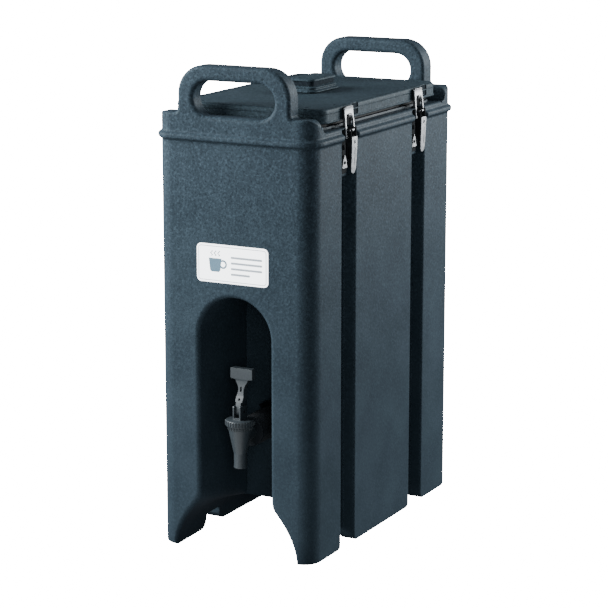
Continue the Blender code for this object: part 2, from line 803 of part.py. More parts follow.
def tap_small_parts():
    rod(
        "tap_handle_pin",
        (-6.5 * MM, TAP_Y, TAP_PIN_Z),
        (6.5 * MM, TAP_Y, TAP_PIN_Z),
        PIN_R,
        DARK_STEEL,
        sides=12,
    )
    rod("tap_stem", (0, TAP_Y, 142 * MM), (0, TAP_Y, 173.5 * MM), 2.9 * MM, TAP_BLACK, sides=16)
    turned(
        "tap_seat_cup",
        [
            (0, 141.7 * MM),
            (5 * MM, 141.7 * MM),
            (7.6 * MM, 139 * MM),
            (7.6 * MM, 135.8 * MM),
            (0, 135.8 * MM),
        ],
        (0, TAP_Y, 0),
        SILICONE,
        sides=20,
    )
    face = RECESS_BACK
    ring("tap_outer_washer", face - 3.4 * MM, face - GAP, SHANK_R + 0.5 * MM, 23 * MM, SILICONE)
    inside = TANK_FRONT_LOW + TANK_SKIN
    ring("tap_inner_washer", inside + GAP, inside + 2.8 * MM, SHANK_R + 0.5 * MM, 20 * MM, SILICONE)
    nut = rod(
        "tap_lock_nut",
        (0, inside + 3.1 * MM, SHANK_Z),
        (0, inside + 13 * MM, SHANK_Z),
        21 * MM,
        TAP_BLACK,
        sides=6,
    )
    hole = rod(
        "nut_hole", (0, inside, SHANK_Z), (0, inside + 20 * MM, SHANK_Z), SHANK_R + 0.4 * MM
    )
    cut(nut, hole)


def ring(name, low_y, high_y, inner, outer, mat):
    washer = rod(name, (0, low_y, SHANK_Z), (0, high_y, SHANK_Z), outer, mat)
    hole = rod(name + "_hole", (0, low_y - MM, SHANK_Z), (0, high_y + MM, SHANK_Z), inner)
    return cut(washer, hole)


# ---------------------------------------------------------------- draw latches


class Latch:
    """One draw latch. Its pieces are built about the middle of the groove, on the right side, and
    mirrored for the left."""

    def __init__(self, place, side_name):
        self.tag = f"{place}_{side_name}"
        self.y = LATCH_Y[place]
        self.side = SIDES[side_name]

    def plate(self, name, outline, low_x, high_x, mat=None):
        """An outline in (y, z), y from the latch's middle, extruded outward."""
        moved = [(y + self.y, z) for y, z in outline]
        low, high = sorted((self.side * low_x, self.side * high_x))
        return slab(name, moved, low, high, "X", mat)

    def cheek(self, name, outline, low_y, high_y, mat=None):
        """An outline in (distance from the middle plane, z), extruded along y."""
        moved = [(self.side * x, z) for x, z in outline]
        return slab(name, moved, self.y + low_y, self.y + high_y, "Y", mat)

    def pin(self, name, x, z, low_y, high_y, radius, mat=None):
        start = (self.side * x, self.y + low_y, z)
        end = (self.side * x, self.y + high_y, z)
        return rod(name, start, end, radius, mat, sides=12)

    def rivet(self, name, y, z, low_x, high_x, radius):
        start = (self.side * low_x, self.y + y, z)
        end = (self.side * high_x, self.y + y, z)
        return rod(name, start, end, radius, STEEL, radius * 0.7, sides=12)

    def base(self):
        low_x, high_x = PAD_X + GAP, PAD_X + GAP + 1.6 * MM
        outline = [(-9 * MM, 533.5 * MM), (-9 * MM, 486 * MM)]
        outline += arc(-4 * MM, 485 * MM, 5 * MM, 200, 270, 3)
        outline += arc(4 * MM, 485 * MM, 5 * MM, 270, 340, 3)
        outline += [(9 * MM, 486 * MM), (9 * MM, 533.5 * MM)]
        name = f"latch_base_{self.tag}"
        plate = self.plate(name, outline, low_x, high_x, DARK_STEEL)
        ear = [(low_x + 0.5 * MM, 533 * MM), (low_x + 0.5 * MM, 522 * MM), (106 * MM, 522 * MM)]
        x, z = LEVER_PIVOT
        ear += arc(x, z, 2.8 * MM, -70, 110, 6) + [(106 * MM, 537 * MM)]
        for end, low in (("a", -6.0 * MM), ("b", 4.5 * MM)):
            join(plate, self.cheek(f"{name}_ear_{end}", ear, low, low + 1.5 * MM))
        cut(plate, self.pin(name + "_hole", x, z, -20 * MM, 20 * MM, 1.85 * MM))

    def lever(self):
        name = f"latch_lever_{self.tag}"
        web_in = LEVER_OUT - SHEET
        end_r = 6.5 * MM
        half = LEVER_HALF
        outline = [(half, 532.6 * MM), (-half, 532.6 * MM)]
        outline += arc(0, LEVER_LOW + end_r, end_r, 180, 360, 8)
        lever = self.plate(name, outline, web_in, LEVER_OUT, STEEL)
        x, z = LEVER_PIVOT
        cheek = [(web_in + 0.6 * MM, 532.6 * MM), (web_in + 0.6 * MM, 492 * MM)]
        cheek += [(web_in - 1.5 * MM, 492 * MM), (web_in - 3 * MM, 514 * MM)]
        cheek += [(BAIL_PIVOT[0] - 2.8 * MM, 523 * MM), (BAIL_PIVOT[0] - 2.8 * MM, 529 * MM)]
        cheek += [(x - 2.9 * MM, z)] + arc(x, z, 2.9 * MM, 170, 30, 5)
        for end, low in (("a", -half), ("b", half - SHEET)):
            join(lever, self.cheek(f"{name}_cheek_{end}", cheek, low, low + SHEET))
        hole = self.plate(
            name + "_eye",
            [(2.0 * MM * math.cos(a), 527 * MM + 2.0 * MM * math.sin(a))
             for a in [math.radians(30 * i) for i in range(12)]],
            web_in - 1 * MM,
            LEVER_OUT + 1 * MM,
        )
        cut(
            lever,
            self.pin(name + "_pivot_hole", x, z, -20 * MM, 20 * MM, 1.85 * MM),
            self.pin(name + "_bail_hole", *BAIL_PIVOT, -20 * MM, 20 * MM, 1.65 * MM),
            hole,
        )

    def bail(self):
        """A stamped loop: its head hooks on the keeper, and its feet turn in to the lever."""
        name = f"latch_bail_{self.tag}"
        half, leg, foot_z = 12.6 * MM, 2.4 * MM, BAIL_PIVOT[1] - 1.6 * MM
        head_low, head_high = 555.4 * MM, 564.5 * MM
        inner = half - leg
        outline = [(half, foot_z)] + arc(half - 2 * MM, head_high - 2 * MM, 2 * MM, 0, 90, 2)
        outline += arc(-half + 2 * MM, head_high - 2 * MM, 2 * MM, 90, 180, 2)
        outline += [(-half, foot_z), (-inner, foot_z), (-inner, head_low - 5 * MM)]
        outline += arc(-inner + 5 * MM, head_low - 5 * MM, 5 * MM, 180, 90, 3)[1:]
        outline += arc(inner - 5 * MM, head_low - 5 * MM, 5 * MM, 90, 0, 3)
        outline += [(inner, foot_z)]
        loop = self.plate(name, outline, 104 * MM, 116 * MM, STEEL)
        bend = [
            (107.5 * MM, 570 * MM),
            (107.5 * MM, 553 * MM),
            (BAIL_PIVOT[0] - 0.75 * MM, BAIL_PIVOT[1]),
            (BAIL_PIVOT[0] - 0.75 * MM, 500 * MM),
            (BAIL_PIVOT[0] + 0.75 * MM, 500 * MM),
            (BAIL_PIVOT[0] + 0.75 * MM, BAIL_PIVOT[1]),
            (109.0 * MM, 553 * MM),
            (109.0 * MM, 570 * MM),
        ]
        keep = self.cheek(name + "_bend", bend, -30 * MM, 30 * MM)
        boolean(loop, "INTERSECT", [keep])
        x, z = BAIL_PIVOT
        for end, low, high in (("a", -inner - 1 * MM, -6.15 * MM), ("b", 6.15 * MM, inner + 1 * MM)):
            join(loop, self.pin(f"{name}_foot_{end}", x, z, low, high, 1.4 * MM))

    def keeper(self):
        """A plate on the lid's rim with a lug that the bail's head pulls down on."""
        name = f"latch_keeper_{self.tag}"
        low_x, high_x = LID_HALF + GAP, LID_HALF + GAP + 1.3 * MM
        face = rounded_rect(-11 * MM, 11 * MM, LID_LOW + 0.5 * MM, 565 * MM, 2 * MM, 2)
        plate = self.plate(name, face, low_x, high_x, STEEL)
        lug = [(high_x - 0.6 * MM, 549.5 * MM), (111.0 * MM, 551.8 * MM)]
        lug += [(111.6 * MM, 555.2 * MM), (110.4 * MM, 555.2 * MM), (109.4 * MM, 554.4 * MM)]
        lug += [(high_x - 0.6 * MM, 554.4 * MM)]
        join(plate, self.cheek(name + "_lug", lug, -5 * MM, 5 * MM))
        for end, y in (("a", -8.2 * MM), ("b", 8.2 * MM)):
            self.rivet(
                f"keeper_rivet_{end}_{self.tag}", y, 551.2 * MM, high_x + 0.2 * MM,
                high_x + 1.0 * MM, 1.8 * MM,
            )

    def build(self):
        self.base()
        self.lever()
        self.bail()
        self.keeper()
        x, z = LEVER_PIVOT
        self.pin(f"latch_pivot_pin_{self.tag}", x, z, -8.6 * MM, 8.6 * MM, PIN_R, STEEL)
        top = PAD_X + GAP + 1.6 * MM + 0.2 * MM
        for end, rivet_z in (("low", 491 * MM), ("high", 513 * MM)):
            self.rivet(f"base_rivet_{end}_{self.tag}", 0, rivet_z, top, top + 1.4 * MM, 3.2 * MM)


# ---------------------------------------------------------------- the object

outer_shell()
tank()
insulation()
label()
lid()
vent()
tap_valve()
tap_bonnet()
tap_handle()
tap_small_parts()
for place_name in LATCH_Y:
    for side_label in SIDES:
        Latch(place_name, side_label).build()
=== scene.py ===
"""Looks for the insulated beverage server: finer pieces, materials, floor, lights and camera around
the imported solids. Lengths in the shape helpers are millimetres; the frame is in metres, +Z up, with
the tap on the -Y side.
"""

import json
import math

import bmesh
import bpy
import numpy as np
from mathutils import Matrix, Vector


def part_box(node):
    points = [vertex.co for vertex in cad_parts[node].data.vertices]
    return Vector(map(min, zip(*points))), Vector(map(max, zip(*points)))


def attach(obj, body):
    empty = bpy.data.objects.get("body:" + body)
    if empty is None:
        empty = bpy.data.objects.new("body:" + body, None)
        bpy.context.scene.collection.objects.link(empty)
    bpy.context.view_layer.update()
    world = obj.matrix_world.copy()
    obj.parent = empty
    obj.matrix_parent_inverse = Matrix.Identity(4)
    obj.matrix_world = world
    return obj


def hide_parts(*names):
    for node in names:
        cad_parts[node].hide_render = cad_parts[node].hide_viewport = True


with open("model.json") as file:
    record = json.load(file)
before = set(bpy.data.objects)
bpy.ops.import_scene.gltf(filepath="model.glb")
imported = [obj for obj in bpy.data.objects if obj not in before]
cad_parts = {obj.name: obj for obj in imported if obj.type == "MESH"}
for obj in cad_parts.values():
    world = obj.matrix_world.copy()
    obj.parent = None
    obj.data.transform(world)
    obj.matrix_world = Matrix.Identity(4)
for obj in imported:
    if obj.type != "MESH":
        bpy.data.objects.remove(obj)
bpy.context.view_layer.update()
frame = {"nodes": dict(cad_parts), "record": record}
MM = 0.001


def box_mm(node):
    low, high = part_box(node)
    return Vector(low) / MM, Vector(high) / MM


# ---------------------------------------------------------------- dimensions shared with the solids

HALF_X, HALF_Y, CORNER_R, SKIN = 109.9, 204.9, 23.0, 3.5
BEAD_Z, BEAD_PROUD = 527.5, 4.6
RIM_Z, SHOULDER_Z, SHOULDER_R = 539.0, 557.0, 12.0
TOP_Z, HANDLE_HALF, HANDLE_R, HANDLE_ROOT_R = 616.0, 78.0, 36.0, 5.0
GRIP_HALF, GRIP_LOW, GRIP_HIGH = 56.5, 554.0, 597.0
SADDLE_FRONT, SADDLE_REAR, SADDLE_R = -179.0, 176.0, 8.0
GROOVES = ((-126.0, -90.0), (76.0, 112.0))
GROOVE_FLOOR, GROOVE_EDGE_R, GROOVE_ROOT_R = 93.0, 3.5, 3.0
NOTCH_Z, FOOT_R = 19.0, 13.0
RECESS_HALF, RECESS_SPRING, RECESS_BACK = 50.5, 280.0, -82.0
UNDER_HALF, UNDER_Z, UNDER_REAR = 89.5, 39.0, 187.0
FLARE_HALF, FLARE_Z = 85.5, 68.0
ROOM_Z = 44.0
TAP_Y, SHANK_Z, PIN_Z, PIN_HOLE_R = -190.3, 152.0, 184.0, 1.8
VENT_Y = 5.0
LATCH_Y = {"front": -108.0, "rear": 94.0}
SIDES = {"right": 1, "left": -1}
PAD_X, PAD_LOW = 100.0, 476.0
LID_HALF, LID_FRONT, LID_REAR = 105.5, -171.0, 163.0
LID_LOW, LID_TOP = 548.0, 566.0
BORE_R, SLOT = 9.0, (18.2, 34.5)

# ---------------------------------------------------------------- outlines


def arc(cx, cy, radius, start, end, steps):
    angles = np.radians(np.linspace(start, end, steps + 1))
    return [(cx + radius * math.cos(a), cy + radius * math.sin(a)) for a in angles]


def rounded_rect(x0, x1, y0, y1, radius, steps=8):
    return (
        arc(x1 - radius, y0 + radius, radius, -90, 0, steps)
        + arc(x1 - radius, y1 - radius, radius, 0, 90, steps)
        + arc(x0 + radius, y1 - radius, radius, 90, 180, steps)
        + arc(x0 + radius, y0 + radius, radius, 180, 270, steps)
    )


def offset(outline, grow):
    """A closed anticlockwise outline with every edge moved out by grow."""
    p = np.array(outline, float)
    edge = np.roll(p, -1, 0) - p
    n = np.stack([edge[:, 1], -edge[:, 0]], 1)
    n /= np.maximum(np.linalg.norm(n, axis=1), 1e-9)[:, None]
    before = np.roll(n, 1, 0)
    miter = (n + before) / (1 + (n * before).sum(1))[:, None]
    return [tuple(q) for q in p + grow * miter]


def resample(path, count):
    """count points evenly spaced along an open path."""
    p = np.array(path, float)
    along = np.concatenate([[0], np.cumsum(np.linalg.norm(np.diff(p, axis=0), axis=1))])
    at = np.linspace(0, along[-1], count)
    return np.stack([np.interp(at, along, p[:, i]) for i in range(p.shape[1])], 1)


def soften(path, rounds):
    """An open path with its corners rounded by averaging; its ends stay."""
    p = np.array(path, float)
    for _ in range(rounds):
        p[1:-1] = (p[:-2] + 2 * p[1:-1] + p[2:]) / 4
    return p


def mirrored(half):
    """A half outline on the +x side, from bottom to top, and its mirror image."""
    half = [tuple(q) for q in half]
    return half + [(-x, z) for x, z in reversed(half)]


# ---------------------------------------------------------------- meshes

AXES = {
    "X": Matrix(((0, 0, 1, 0), (1, 0, 0, 0), (0, 1, 0, 0), (0, 0, 0, 1))),
    "Y": Matrix(((1, 0, 0, 0), (0, 0, 1, 0), (0, 1, 0, 0), (0, 0, 0, 1))),
    "Z": Matrix.Identity(4),
}


def placed(bm, name):
    """An object from a bmesh in millimetres."""
    bmesh.ops.recalc_face_normals(bm, faces=bm.faces)
    bmesh.ops.scale(bm, vec=(MM, MM, MM), verts=bm.verts)
    mesh = bpy.data.meshes.new(name)
    bm.to_mesh(mesh)
    bm.free()
    obj = bpy.data.objects.new(name, mesh)
    bpy.context.scene.collection.objects.link(obj)
    return obj


def loft(name, sections):
    bm = bmesh.new()
    rings = [[bm.verts.new(p) for p in section] for section in sections]
    count = len(rings[0])
    for low, high in zip(rings, rings[1:]):
        for i in range(count):
            j = (i + 1) % count
            bm.faces.new((low[i], low[j], high[j], high[i]))
    bm.faces.new(rings[0][::-1])
    bm.faces.new(rings[-1])
    return placed(bm, name)


def rounding(radius, steps):
    """(depth, inset) pairs round a quarter circle; a negative radius flares out."""
    size = abs(radius)
    angles = np.radians(np.linspace(0, 90, steps + 1))
    return [(size * (1 - math.cos(a)), radius * (1 - math.sin(a))) for a in angles]


def stacked(name, outline, stations, axis):
    """Copies of an outline at (place, growth) stations along an axis, joined by walls."""
    sections = []
    for w, grow in stations:
        ring = offset(outline, grow) if grow else outline
        sections.append([AXES[axis] @ Vector((u, v, w)) for u, v in ring])
    return loft(name, sections)


def slab(name, outline, low, high, axis="Z", round_low=0.0, round_high=0.0, steps=5):
    """An outline extruded along an axis with rounded rims: u, v are Y, Z for X; X, Z for Y; X, Y
    for Z."""
    stations = [(low, 0.0)]
    if round_low:
        stations = [(low + d, -i) for d, i in rounding(round_low, steps)]
    if round_high:
        stations += [(high - d, -i) for d, i in reversed(rounding(round_high, steps))]
    else:
        stations.append((high, 0.0))
    return stacked(name, outline, stations, axis)


def flared_cutter(name, outline, low, high, axis, radius):
    """A cutter through a wall that lies from low to high, which rounds both rims of its hole."""
    over, rim = 30.0, rounding(radius, 6)
    stations = [(low - over, radius)] + [(low + d, i) for d, i in rim]
    stations += [(high - d, i) for d, i in reversed(rim)] + [(high + over, radius)]
    return stacked(name, outline, stations, axis)


def revolve(name, profile, centre, sides=64, axis="Z", closed=False):
    """A profile of (radius, height) turned about an axis through centre."""
    bm = bmesh.new()
    turns = [2 * math.pi * i / sides for i in range(sides)]
    rings = []
    for r, h in profile:
        if r < 1e-6:
            rings.append([bm.verts.new((0, 0, h))] * sides)
        else:
            rings.append([bm.verts.new((r * math.cos(a), r * math.sin(a), h)) for a in turns])
    pairs = list(zip(rings, rings[1:]))
    if closed:
        pairs.append((rings[-1], rings[0]))
    for a, b in pairs:
        for i in range(sides):
            j = (i + 1) % sides
            corners = []
            for v in (a[i], a[j], b[j], b[i]):
                if v not in corners:
                    corners.append(v)
            if len(corners) > 2:
                bm.faces.new(corners)
    if not closed:
        for ring in (rings[0], rings[-1]):
            if ring[0] is not ring[1]:
                bm.faces.new(ring)
    turn = {"Z": Matrix.Identity(4), "Y": Matrix.Rotation(-math.pi / 2, 4, "X")}
    turn["X"] = Matrix.Rotation(math.pi / 2, 4, "Y")
    bmesh.ops.transform(bm, matrix=Matrix.Translation(centre) @ turn[axis], verts=bm.verts)
    return placed(bm, name)


def rod(name, start, end, radius, sides=32, round_ends=0.0, end_radius=None):
    """A round bar from start to end, with rounded rims."""
    start, end = Vector(start), Vector(end)
    length = (end - start).length
    last = radius if end_radius is None else end_radius
    profile = [(0, 0)]
    if round_ends:
        profile += [(radius - i, d) for d, i in rounding(round_ends, 4)]
        profile += [(last - i, length - d) for d, i in reversed(rounding(round_ends, 4))]
    else:
        profile += [(radius, 0), (last, length)]
    profile.append((0, length))
    obj = revolve(name, profile, (0, 0, 0), sides)
    turn = (end - start).to_track_quat("Z", "Y").to_matrix().to_4x4()
    obj.data.transform(Matrix.Translation(start * MM) @ turn)
    return obj


def carve(obj, operation, tools, solver="MANIFOLD"):
    """Joins, cuts or intersects obj with tools, which are used up."""
    for tool in tools:
        made = obj.modifiers.new("shape", "BOOLEAN")
        made.operation = operation
        made.solver = solver
        made.object = tool
    settle(obj)
    for tool in tools:
        bpy.data.objects.remove(tool)
    return obj


def settle(obj):
    """Turns an object's modifiers into its mesh."""
    bpy.context.view_layer.update()
    evaluated = obj.evaluated_get(bpy.context.evaluated_depsgraph_get())
    mesh = bpy.data.meshes.new_from_object(evaluated)
    obj.modifiers.clear()
    obj.data = mesh
    mesh.name = obj.name
    return obj


def cut(obj, *tools):
    return carve(obj, "DIFFERENCE", tools)


def join(obj, *tools):
    return carve(obj, "UNION", tools)


def reshape(obj, move):
    """Moves each vertex by a function of its place in millimetres."""
    for v in obj.data.vertices:
        v.co = Vector(move(*(v.co / MM))) * MM
    return obj


def sliced(obj, axis, places):
    """Adds edge loops across obj at these places along an axis."""
    bm = bmesh.new()
    bm.from_mesh(obj.data)
    normal = [1.0 if a == axis else 0.0 for a in "XYZ"]
    for place in places:
        bmesh.ops.bisect_plane(
            bm,
            geom=bm.verts[:] + bm.edges[:] + bm.faces[:],
            plane_co=[n * place * MM for n in normal],
            plane_no=normal,
            dist=1e-7,
        )
    bm.to_mesh(obj.data)
    bm.free()
    return obj


def edge_round(obj, width, angle):
    """Bevels the edges that are sharper than angle."""
    bevel = obj.modifiers.new("edge_round", "BEVEL")
    bevel.width = width * MM
    bevel.segments = 2
    bevel.limit_method = "ANGLE"
    bevel.angle_limit = math.radians(angle)
    return settle(obj)


def piece(obj, body, mat, replaces=(), sharp=32, weighted=True):
    """Finishes a visible piece: shading, material, and how it belongs to the frame."""
    obj.data.materials.clear()
    obj.data.materials.append(mat)
    obj.data.shade_smooth()
    obj.data.set_sharp_from_angle(angle=math.radians(sharp))
    if weighted:
        normals = obj.modifiers.new("normals", "WEIGHTED_NORMAL")
        normals.keep_sharp = True
    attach(obj, body)
    if replaces:
        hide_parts(*replaces)
    return obj


# ---------------------------------------------------------------- materials


PORE_IOR = 1.11  # the moulded plastic is dull: its skin is full of fine pores


class Material:
    """A Principled material with a small way to add nodes."""

    def __init__(self, name, **sockets):
        self.made = bpy.data.materials.new(name)
        self.made.use_nodes = True
        self.tree = self.made.node_tree
        self.shader = self.tree.nodes["Principled BSDF"]
        for key, value in sockets.items():
            self.shader.inputs[key.replace("_", " ")].default_value = value
        self.where = self.node("ShaderNodeTexCoord").outputs["Object"]

    def node(self, kind, inputs=None, **settings):
        made = self.tree.nodes.new(kind)
        for key, value in settings.items():
            setattr(made, key, value)
        for key, value in (inputs or {}).items():
            if isinstance(value, bpy.types.NodeSocket):
                self.tree.links.new(value, made.inputs[key])
            else:
                made.inputs[key].default_value = value
        return made

    def noise(self, size, detail=2.0, roughness=0.5, stretch=None):
        """Noise from 0 to 1 whose lumps are about size millimetres across."""
        where = self.where
        if stretch:
            where = self.node("ShaderNodeMapping", {"Vector": where, "Scale": stretch}).outputs[0]
        made = self.node(
            "ShaderNodeTexNoise",
            {
                "Vector": where,
                "Scale": 1 / (size * MM),
                "Detail": detail,
                "Roughness": roughness,
            },
        )
        return made.outputs["Fac"]

    def cells(self, size):
        """Distance from the middle of rounded cells about size millimetres across."""
        made = self.node(
            "ShaderNodeTexVoronoi",
            {"Vector": self.where, "Scale": 1 / (size * MM), "Smoothness": 0.6},
            feature="SMOOTH_F1",
        )
        return made.outputs["Distance"]

    def math(self, operation, a, b):
        return self.node("ShaderNodeMath", {0: a, 1: b}, operation=operation).outputs[0]

    def scaled(self, value, low, high, from_low=0.0, from_high=1.0):
        inputs = {"Value": value, 1: from_low, 2: from_high, 3: low, 4: high}
        return self.node("ShaderNodeMapRange", inputs).outputs[0]

    def mix(self, factor, a, b):
        made = self.node("ShaderNodeMix", {0: factor}, data_type="RGBA")
        for index, value in ((6, a), (7, b)):
            if isinstance(value, bpy.types.NodeSocket):
                self.tree.links.new(value, made.inputs[index])
            else:
                made.inputs[index].default_value = (*value, 1.0)
        return made.outputs[2]

    def drive(self, socket, value):
        self.tree.links.new(value, self.shader.inputs[socket])

    def relief(self, terms, edge=0.0):
        """Bump from (height in millimetres, value 0 to 1) terms, over edges rounded by edge mm."""
        total = None
        for height, value in terms:
            part = self.math("MULTIPLY", value, height * MM)
            total = part if total is None else self.math("ADD", total, part)
        inputs = {"Height": total, "Distance": 1.0, "Strength": 1.0}
        if edge:
            rounded = self.node("ShaderNodeBevel", {"Radius": edge * MM}, samples=6)
            inputs["Normal"] = rounded.outputs[0]
        self.drive("Normal", self.node("ShaderNodeBump", inputs).outputs[0])


def moulded(name, dark, light, roughness, grain=0.16, wave=0.5, edge=1.2, scuffs=0.25):
    """Rotationally moulded plastic: pebble grain, slow waves in the wall, faint scuffs. Its light
    specks and dark pits are partly grain and partly painted sparkle: they fade towards the foot, away
    from the light."""
    m = Material(name, Roughness=roughness, IOR=PORE_IOR, Specular_Tint=(0.80, 0.95, 1.0, 1.0))
    slow = m.noise(60, 3.0)
    fine = m.noise(0.9, 2.0)
    pebble = m.cells(2.6)
    lumps = m.noise(3.4, 2.0, 0.6)
    rub = m.noise(9, 8.0, 0.7, stretch=(1.0, 1.0, 0.25))
    mark = m.scaled(rub, 0.0, scuffs, 0.6, 0.75)
    tone = m.mix(m.scaled(slow, 0.0, 1.0, 0.3, 0.7), dark, light)
    height = m.node("ShaderNodeSeparateXYZ", {0: m.where}).outputs[2]
    # painted sparkle: the specks and pits grow stronger with height, as if the upper walls caught
    # more light
    painted_sparkle_fade = m.scaled(height, 0.3, 1.0, 0.15, 0.50)
    bright = m.math("MULTIPLY", m.scaled(lumps, 0.0, 0.9, 0.46, 0.74), painted_sparkle_fade)
    speck = m.mix(bright, tone, tuple(min(1, 1.65 * c) for c in light))
    pits = m.math("MULTIPLY", m.scaled(m.noise(2.4, 2.0, 0.7), 0.8, 0.0, 0.30, 0.50), painted_sparkle_fade)
    pitted = m.mix(pits, speck, tuple(0.5 * c for c in dark))
    worn = m.mix(mark, pitted, tuple(min(1.0, 1.6 * c + 0.006) for c in light))
    m.drive("Base Color", worn)
    rough = m.scaled(m.noise(14, 4.0), roughness - 0.05, roughness + 0.06)
    m.drive("Roughness", m.math("ADD", rough, m.math("MULTIPLY", mark, 0.12)))
    m.relief([(grain, pebble), (grain * 1.2, lumps), (grain * 0.2, fine), (wave, slow)], edge)
    return m.made


def smooth_plastic(name, dark, light, roughness, edge=0.6, ior=1.45):
    m = Material(name, Roughness=roughness, IOR=ior)
    slow = m.noise(22, 3.0)
    fine = m.noise(1.3, 3.0)
    m.drive("Base Color", m.mix(slow, dark, light))
    m.drive("Roughness", m.scaled(m.noise(7, 5.0), roughness - 0.06, roughness + 0.09))
    m.relief([(0.05, slow), (0.006, fine)], edge)
    return m.made


def brushed(name, dark, light, roughness, stretch, edge=0.35, metallic=1.0):
    """Stamped stainless sheet: fine brushing along one direction, small dents and dull patches."""
    m = Material(name, Metallic=metallic, Roughness=roughness, IOR=1.12)
    lines = m.noise(0.5, 3.0, 0.6, stretch=stretch)
    patch = m.noise(6, 4.0)
    m.drive("Base Color", m.mix(m.scaled(patch, 0.0, 1.0, 0.3, 0.7), dark, light))
    rough = m.scaled(lines, roughness - 0.08, roughness + 0.1)
    m.drive("Roughness", m.math("ADD", rough, m.scaled(patch, -0.04, 0.05)))
    m.relief([(0.012, lines), (0.05, patch)], edge)
    return m.made


def soft_rubber(name, dark, light):
    m = Material(name, Roughness=0.7, IOR=1.2)
    m.drive("Base Color", m.mix(m.noise(5, 4.0), dark, light))
    m.drive("Roughness", m.scaled(m.noise(3, 3.0), 0.62, 0.82))
    m.relief([(0.03, m.noise(1.2, 3.0))], 0.3)
    return m.made


def rigid_foam(name):
    m = Material(name, Roughness=0.9)
    m.drive("Base Color", m.mix(m.noise(4, 4.0), (0.62, 0.5, 0.28), (0.8, 0.7, 0.46)))
    m.relief([(0.5, m.cells(1.6)), (0.2, m.noise(8, 3.0))])
    return m.made


def printed_sheet(name, dark, light, roughness, bright=0.0):
    """Coated sheet; bright sets a painted glow of its own, though the sheet is no lamp."""
    glow = {"Emission_Color": (0.97, 0.99, 1.0, 1.0), "Emission_Strength": bright}
    m = Material(name, Roughness=roughness, **glow)
    m.drive("Base Color", m.mix(m.noise(18, 3.0), dark, light))
    m.drive("Roughness", m.scaled(m.noise(5, 4.0), roughness - 0.05, roughness + 0.1))
    m.relief([(0.04, m.noise(25, 2.0)), (0.004, m.noise(0.8, 2.0))], 0.2)
    return m.made


BODY = moulded("body_plastic", (0.018, 0.027, 0.035), (0.025, 0.037, 0.047), 0.50, 0.13)
LID = moulded("lid_plastic", (0.018, 0.028, 0.035), (0.024, 0.036, 0.044), 0.50, 0.08, 0.15, 0.8)
TANK = smooth_plastic("tank_plastic", (0.017, 0.025, 0.031), (0.023, 0.033, 0.041), 0.5, 0.6, 1.2)
# painted shade: a near-black copy of the lid plastic for the vent's set-back band and the backs of
# the lid's notches, where there is only shade
PAINTED_SHADE = moulded("painted_shade_plastic", (0.007, 0.010, 0.013), (0.010, 0.014, 0.018), 0.85, 0.06, 0.1, 0.6)
BLACK = smooth_plastic("tap_black", (0.016, 0.022, 0.026), (0.026, 0.033, 0.038), 0.42, 0.5)
# painted shade: black, darkened well below the tap body's black to stand in for the shade of the
# recess
SHADED_BLACK = smooth_plastic(
    "tap_black_shaded", (0.003, 0.005, 0.007), (0.009, 0.011, 0.014), 0.5, 0.3, 1.2
)
STEEL = brushed("latch_steel", (0.12, 0.125, 0.13), (0.20, 0.205, 0.21), 0.46, (1.0, 1.0, 0.08))
DARK_STEEL = brushed(
    "latch_dark_steel",
    (0.006, 0.007, 0.008),
    (0.016, 0.018, 0.020),
    0.85,
    (1, 1, 0.1),
    metallic=0.0,
)
SILICONE = soft_rubber("silicone", (0.010, 0.011, 0.012), (0.018, 0.019, 0.020))
FOAM = rigid_foam("foam")
# painted light: the white label glows (strength 2.6) so that it reads as brightly lit
WHITE = printed_sheet("label_white", (0.80, 0.83, 0.85), (0.86, 0.88, 0.90), 0.32, 2.6)
INK = printed_sheet("label_ink", (0.05, 0.12, 0.17), (0.07, 0.15, 0.21), 0.35)
EDGE_INK = printed_sheet("label_edge_ink", (0.30, 0.34, 0.38), (0.36, 0.40, 0.44), 0.35)

SLOT_MATERIAL = {
    "body_plastic": BODY,
    "lid_plastic": LID,
    "tank_plastic": TANK,
    "foam": FOAM,
    "silicone": SILICONE,
    "label_white": WHITE,
    "tap_black": BLACK,
    "latch_steel": STEEL,
    "latch_dark_steel": DARK_STEEL,
}
SLOT_OF = {row["node"]: row["material_slot"] for row in frame["record"]["subparts"]}
for node_name, cad in frame["nodes"].items():
    cad.data.materials.clear()
    cad.data.materials.append(SLOT_MATERIAL[SLOT_OF[node_name]])

# ---------------------------------------------------------------- body


def plan_outline(grow=0.0, skin=0.0, corner_steps=14):
    """The body seen from above, with its grooves. grow moves the outer faces out and skin moves
    every face in."""
    x, y = HALF_X + grow - skin, HALF_Y + grow - skin
    corner = CORNER_R + grow - skin
    floor = GROOVE_FLOOR - skin
    edge = max(GROOVE_EDGE_R - skin, 0.5)
    root = GROOVE_ROOT_R + skin
    right = []
    for start, end in GROOVES:
        low, high = start - skin, end + skin
        right += arc(x - edge, low - edge, edge, 0, 90, 6)
        right += arc(floor + root, low + root, root, 270, 180, 5)
        right += arc(floor + root, high - root, root, 180, 90, 5)
        right += arc(x - edge, high + edge, edge, 270, 360, 6)
    left = [(-px, py) for px, py in reversed(right)]
    return (
        arc(x - corner, -y + corner, corner, -90, 0, corner_steps)
        + right
        + arc(x - corner, y - corner, corner, 0, 90, corner_steps)
        + arc(-x + corner, y - corner, corner, 90, 180, corner_steps)
        + left
        + arc(-x + corner, -y + corner, corner, 180, 270, corner_steps)
    )


def body_column():
    """The whole plan outline from the floor to the handles, with the soft bead below the rim."""
    levels = [(d, -i) for d, i in rounding(3.5, 5)]
    for s in np.linspace(-9, 9, 25):
        levels.append((BEAD_Z + s, BEAD_PROUD * math.exp(-((s / 4.3) ** 4))))
    levels.append((TOP_Z + 10, 0.0))
    return loft("body", [[(x, y, z) for x, y in plan_outline(grow)] for z, grow in levels])


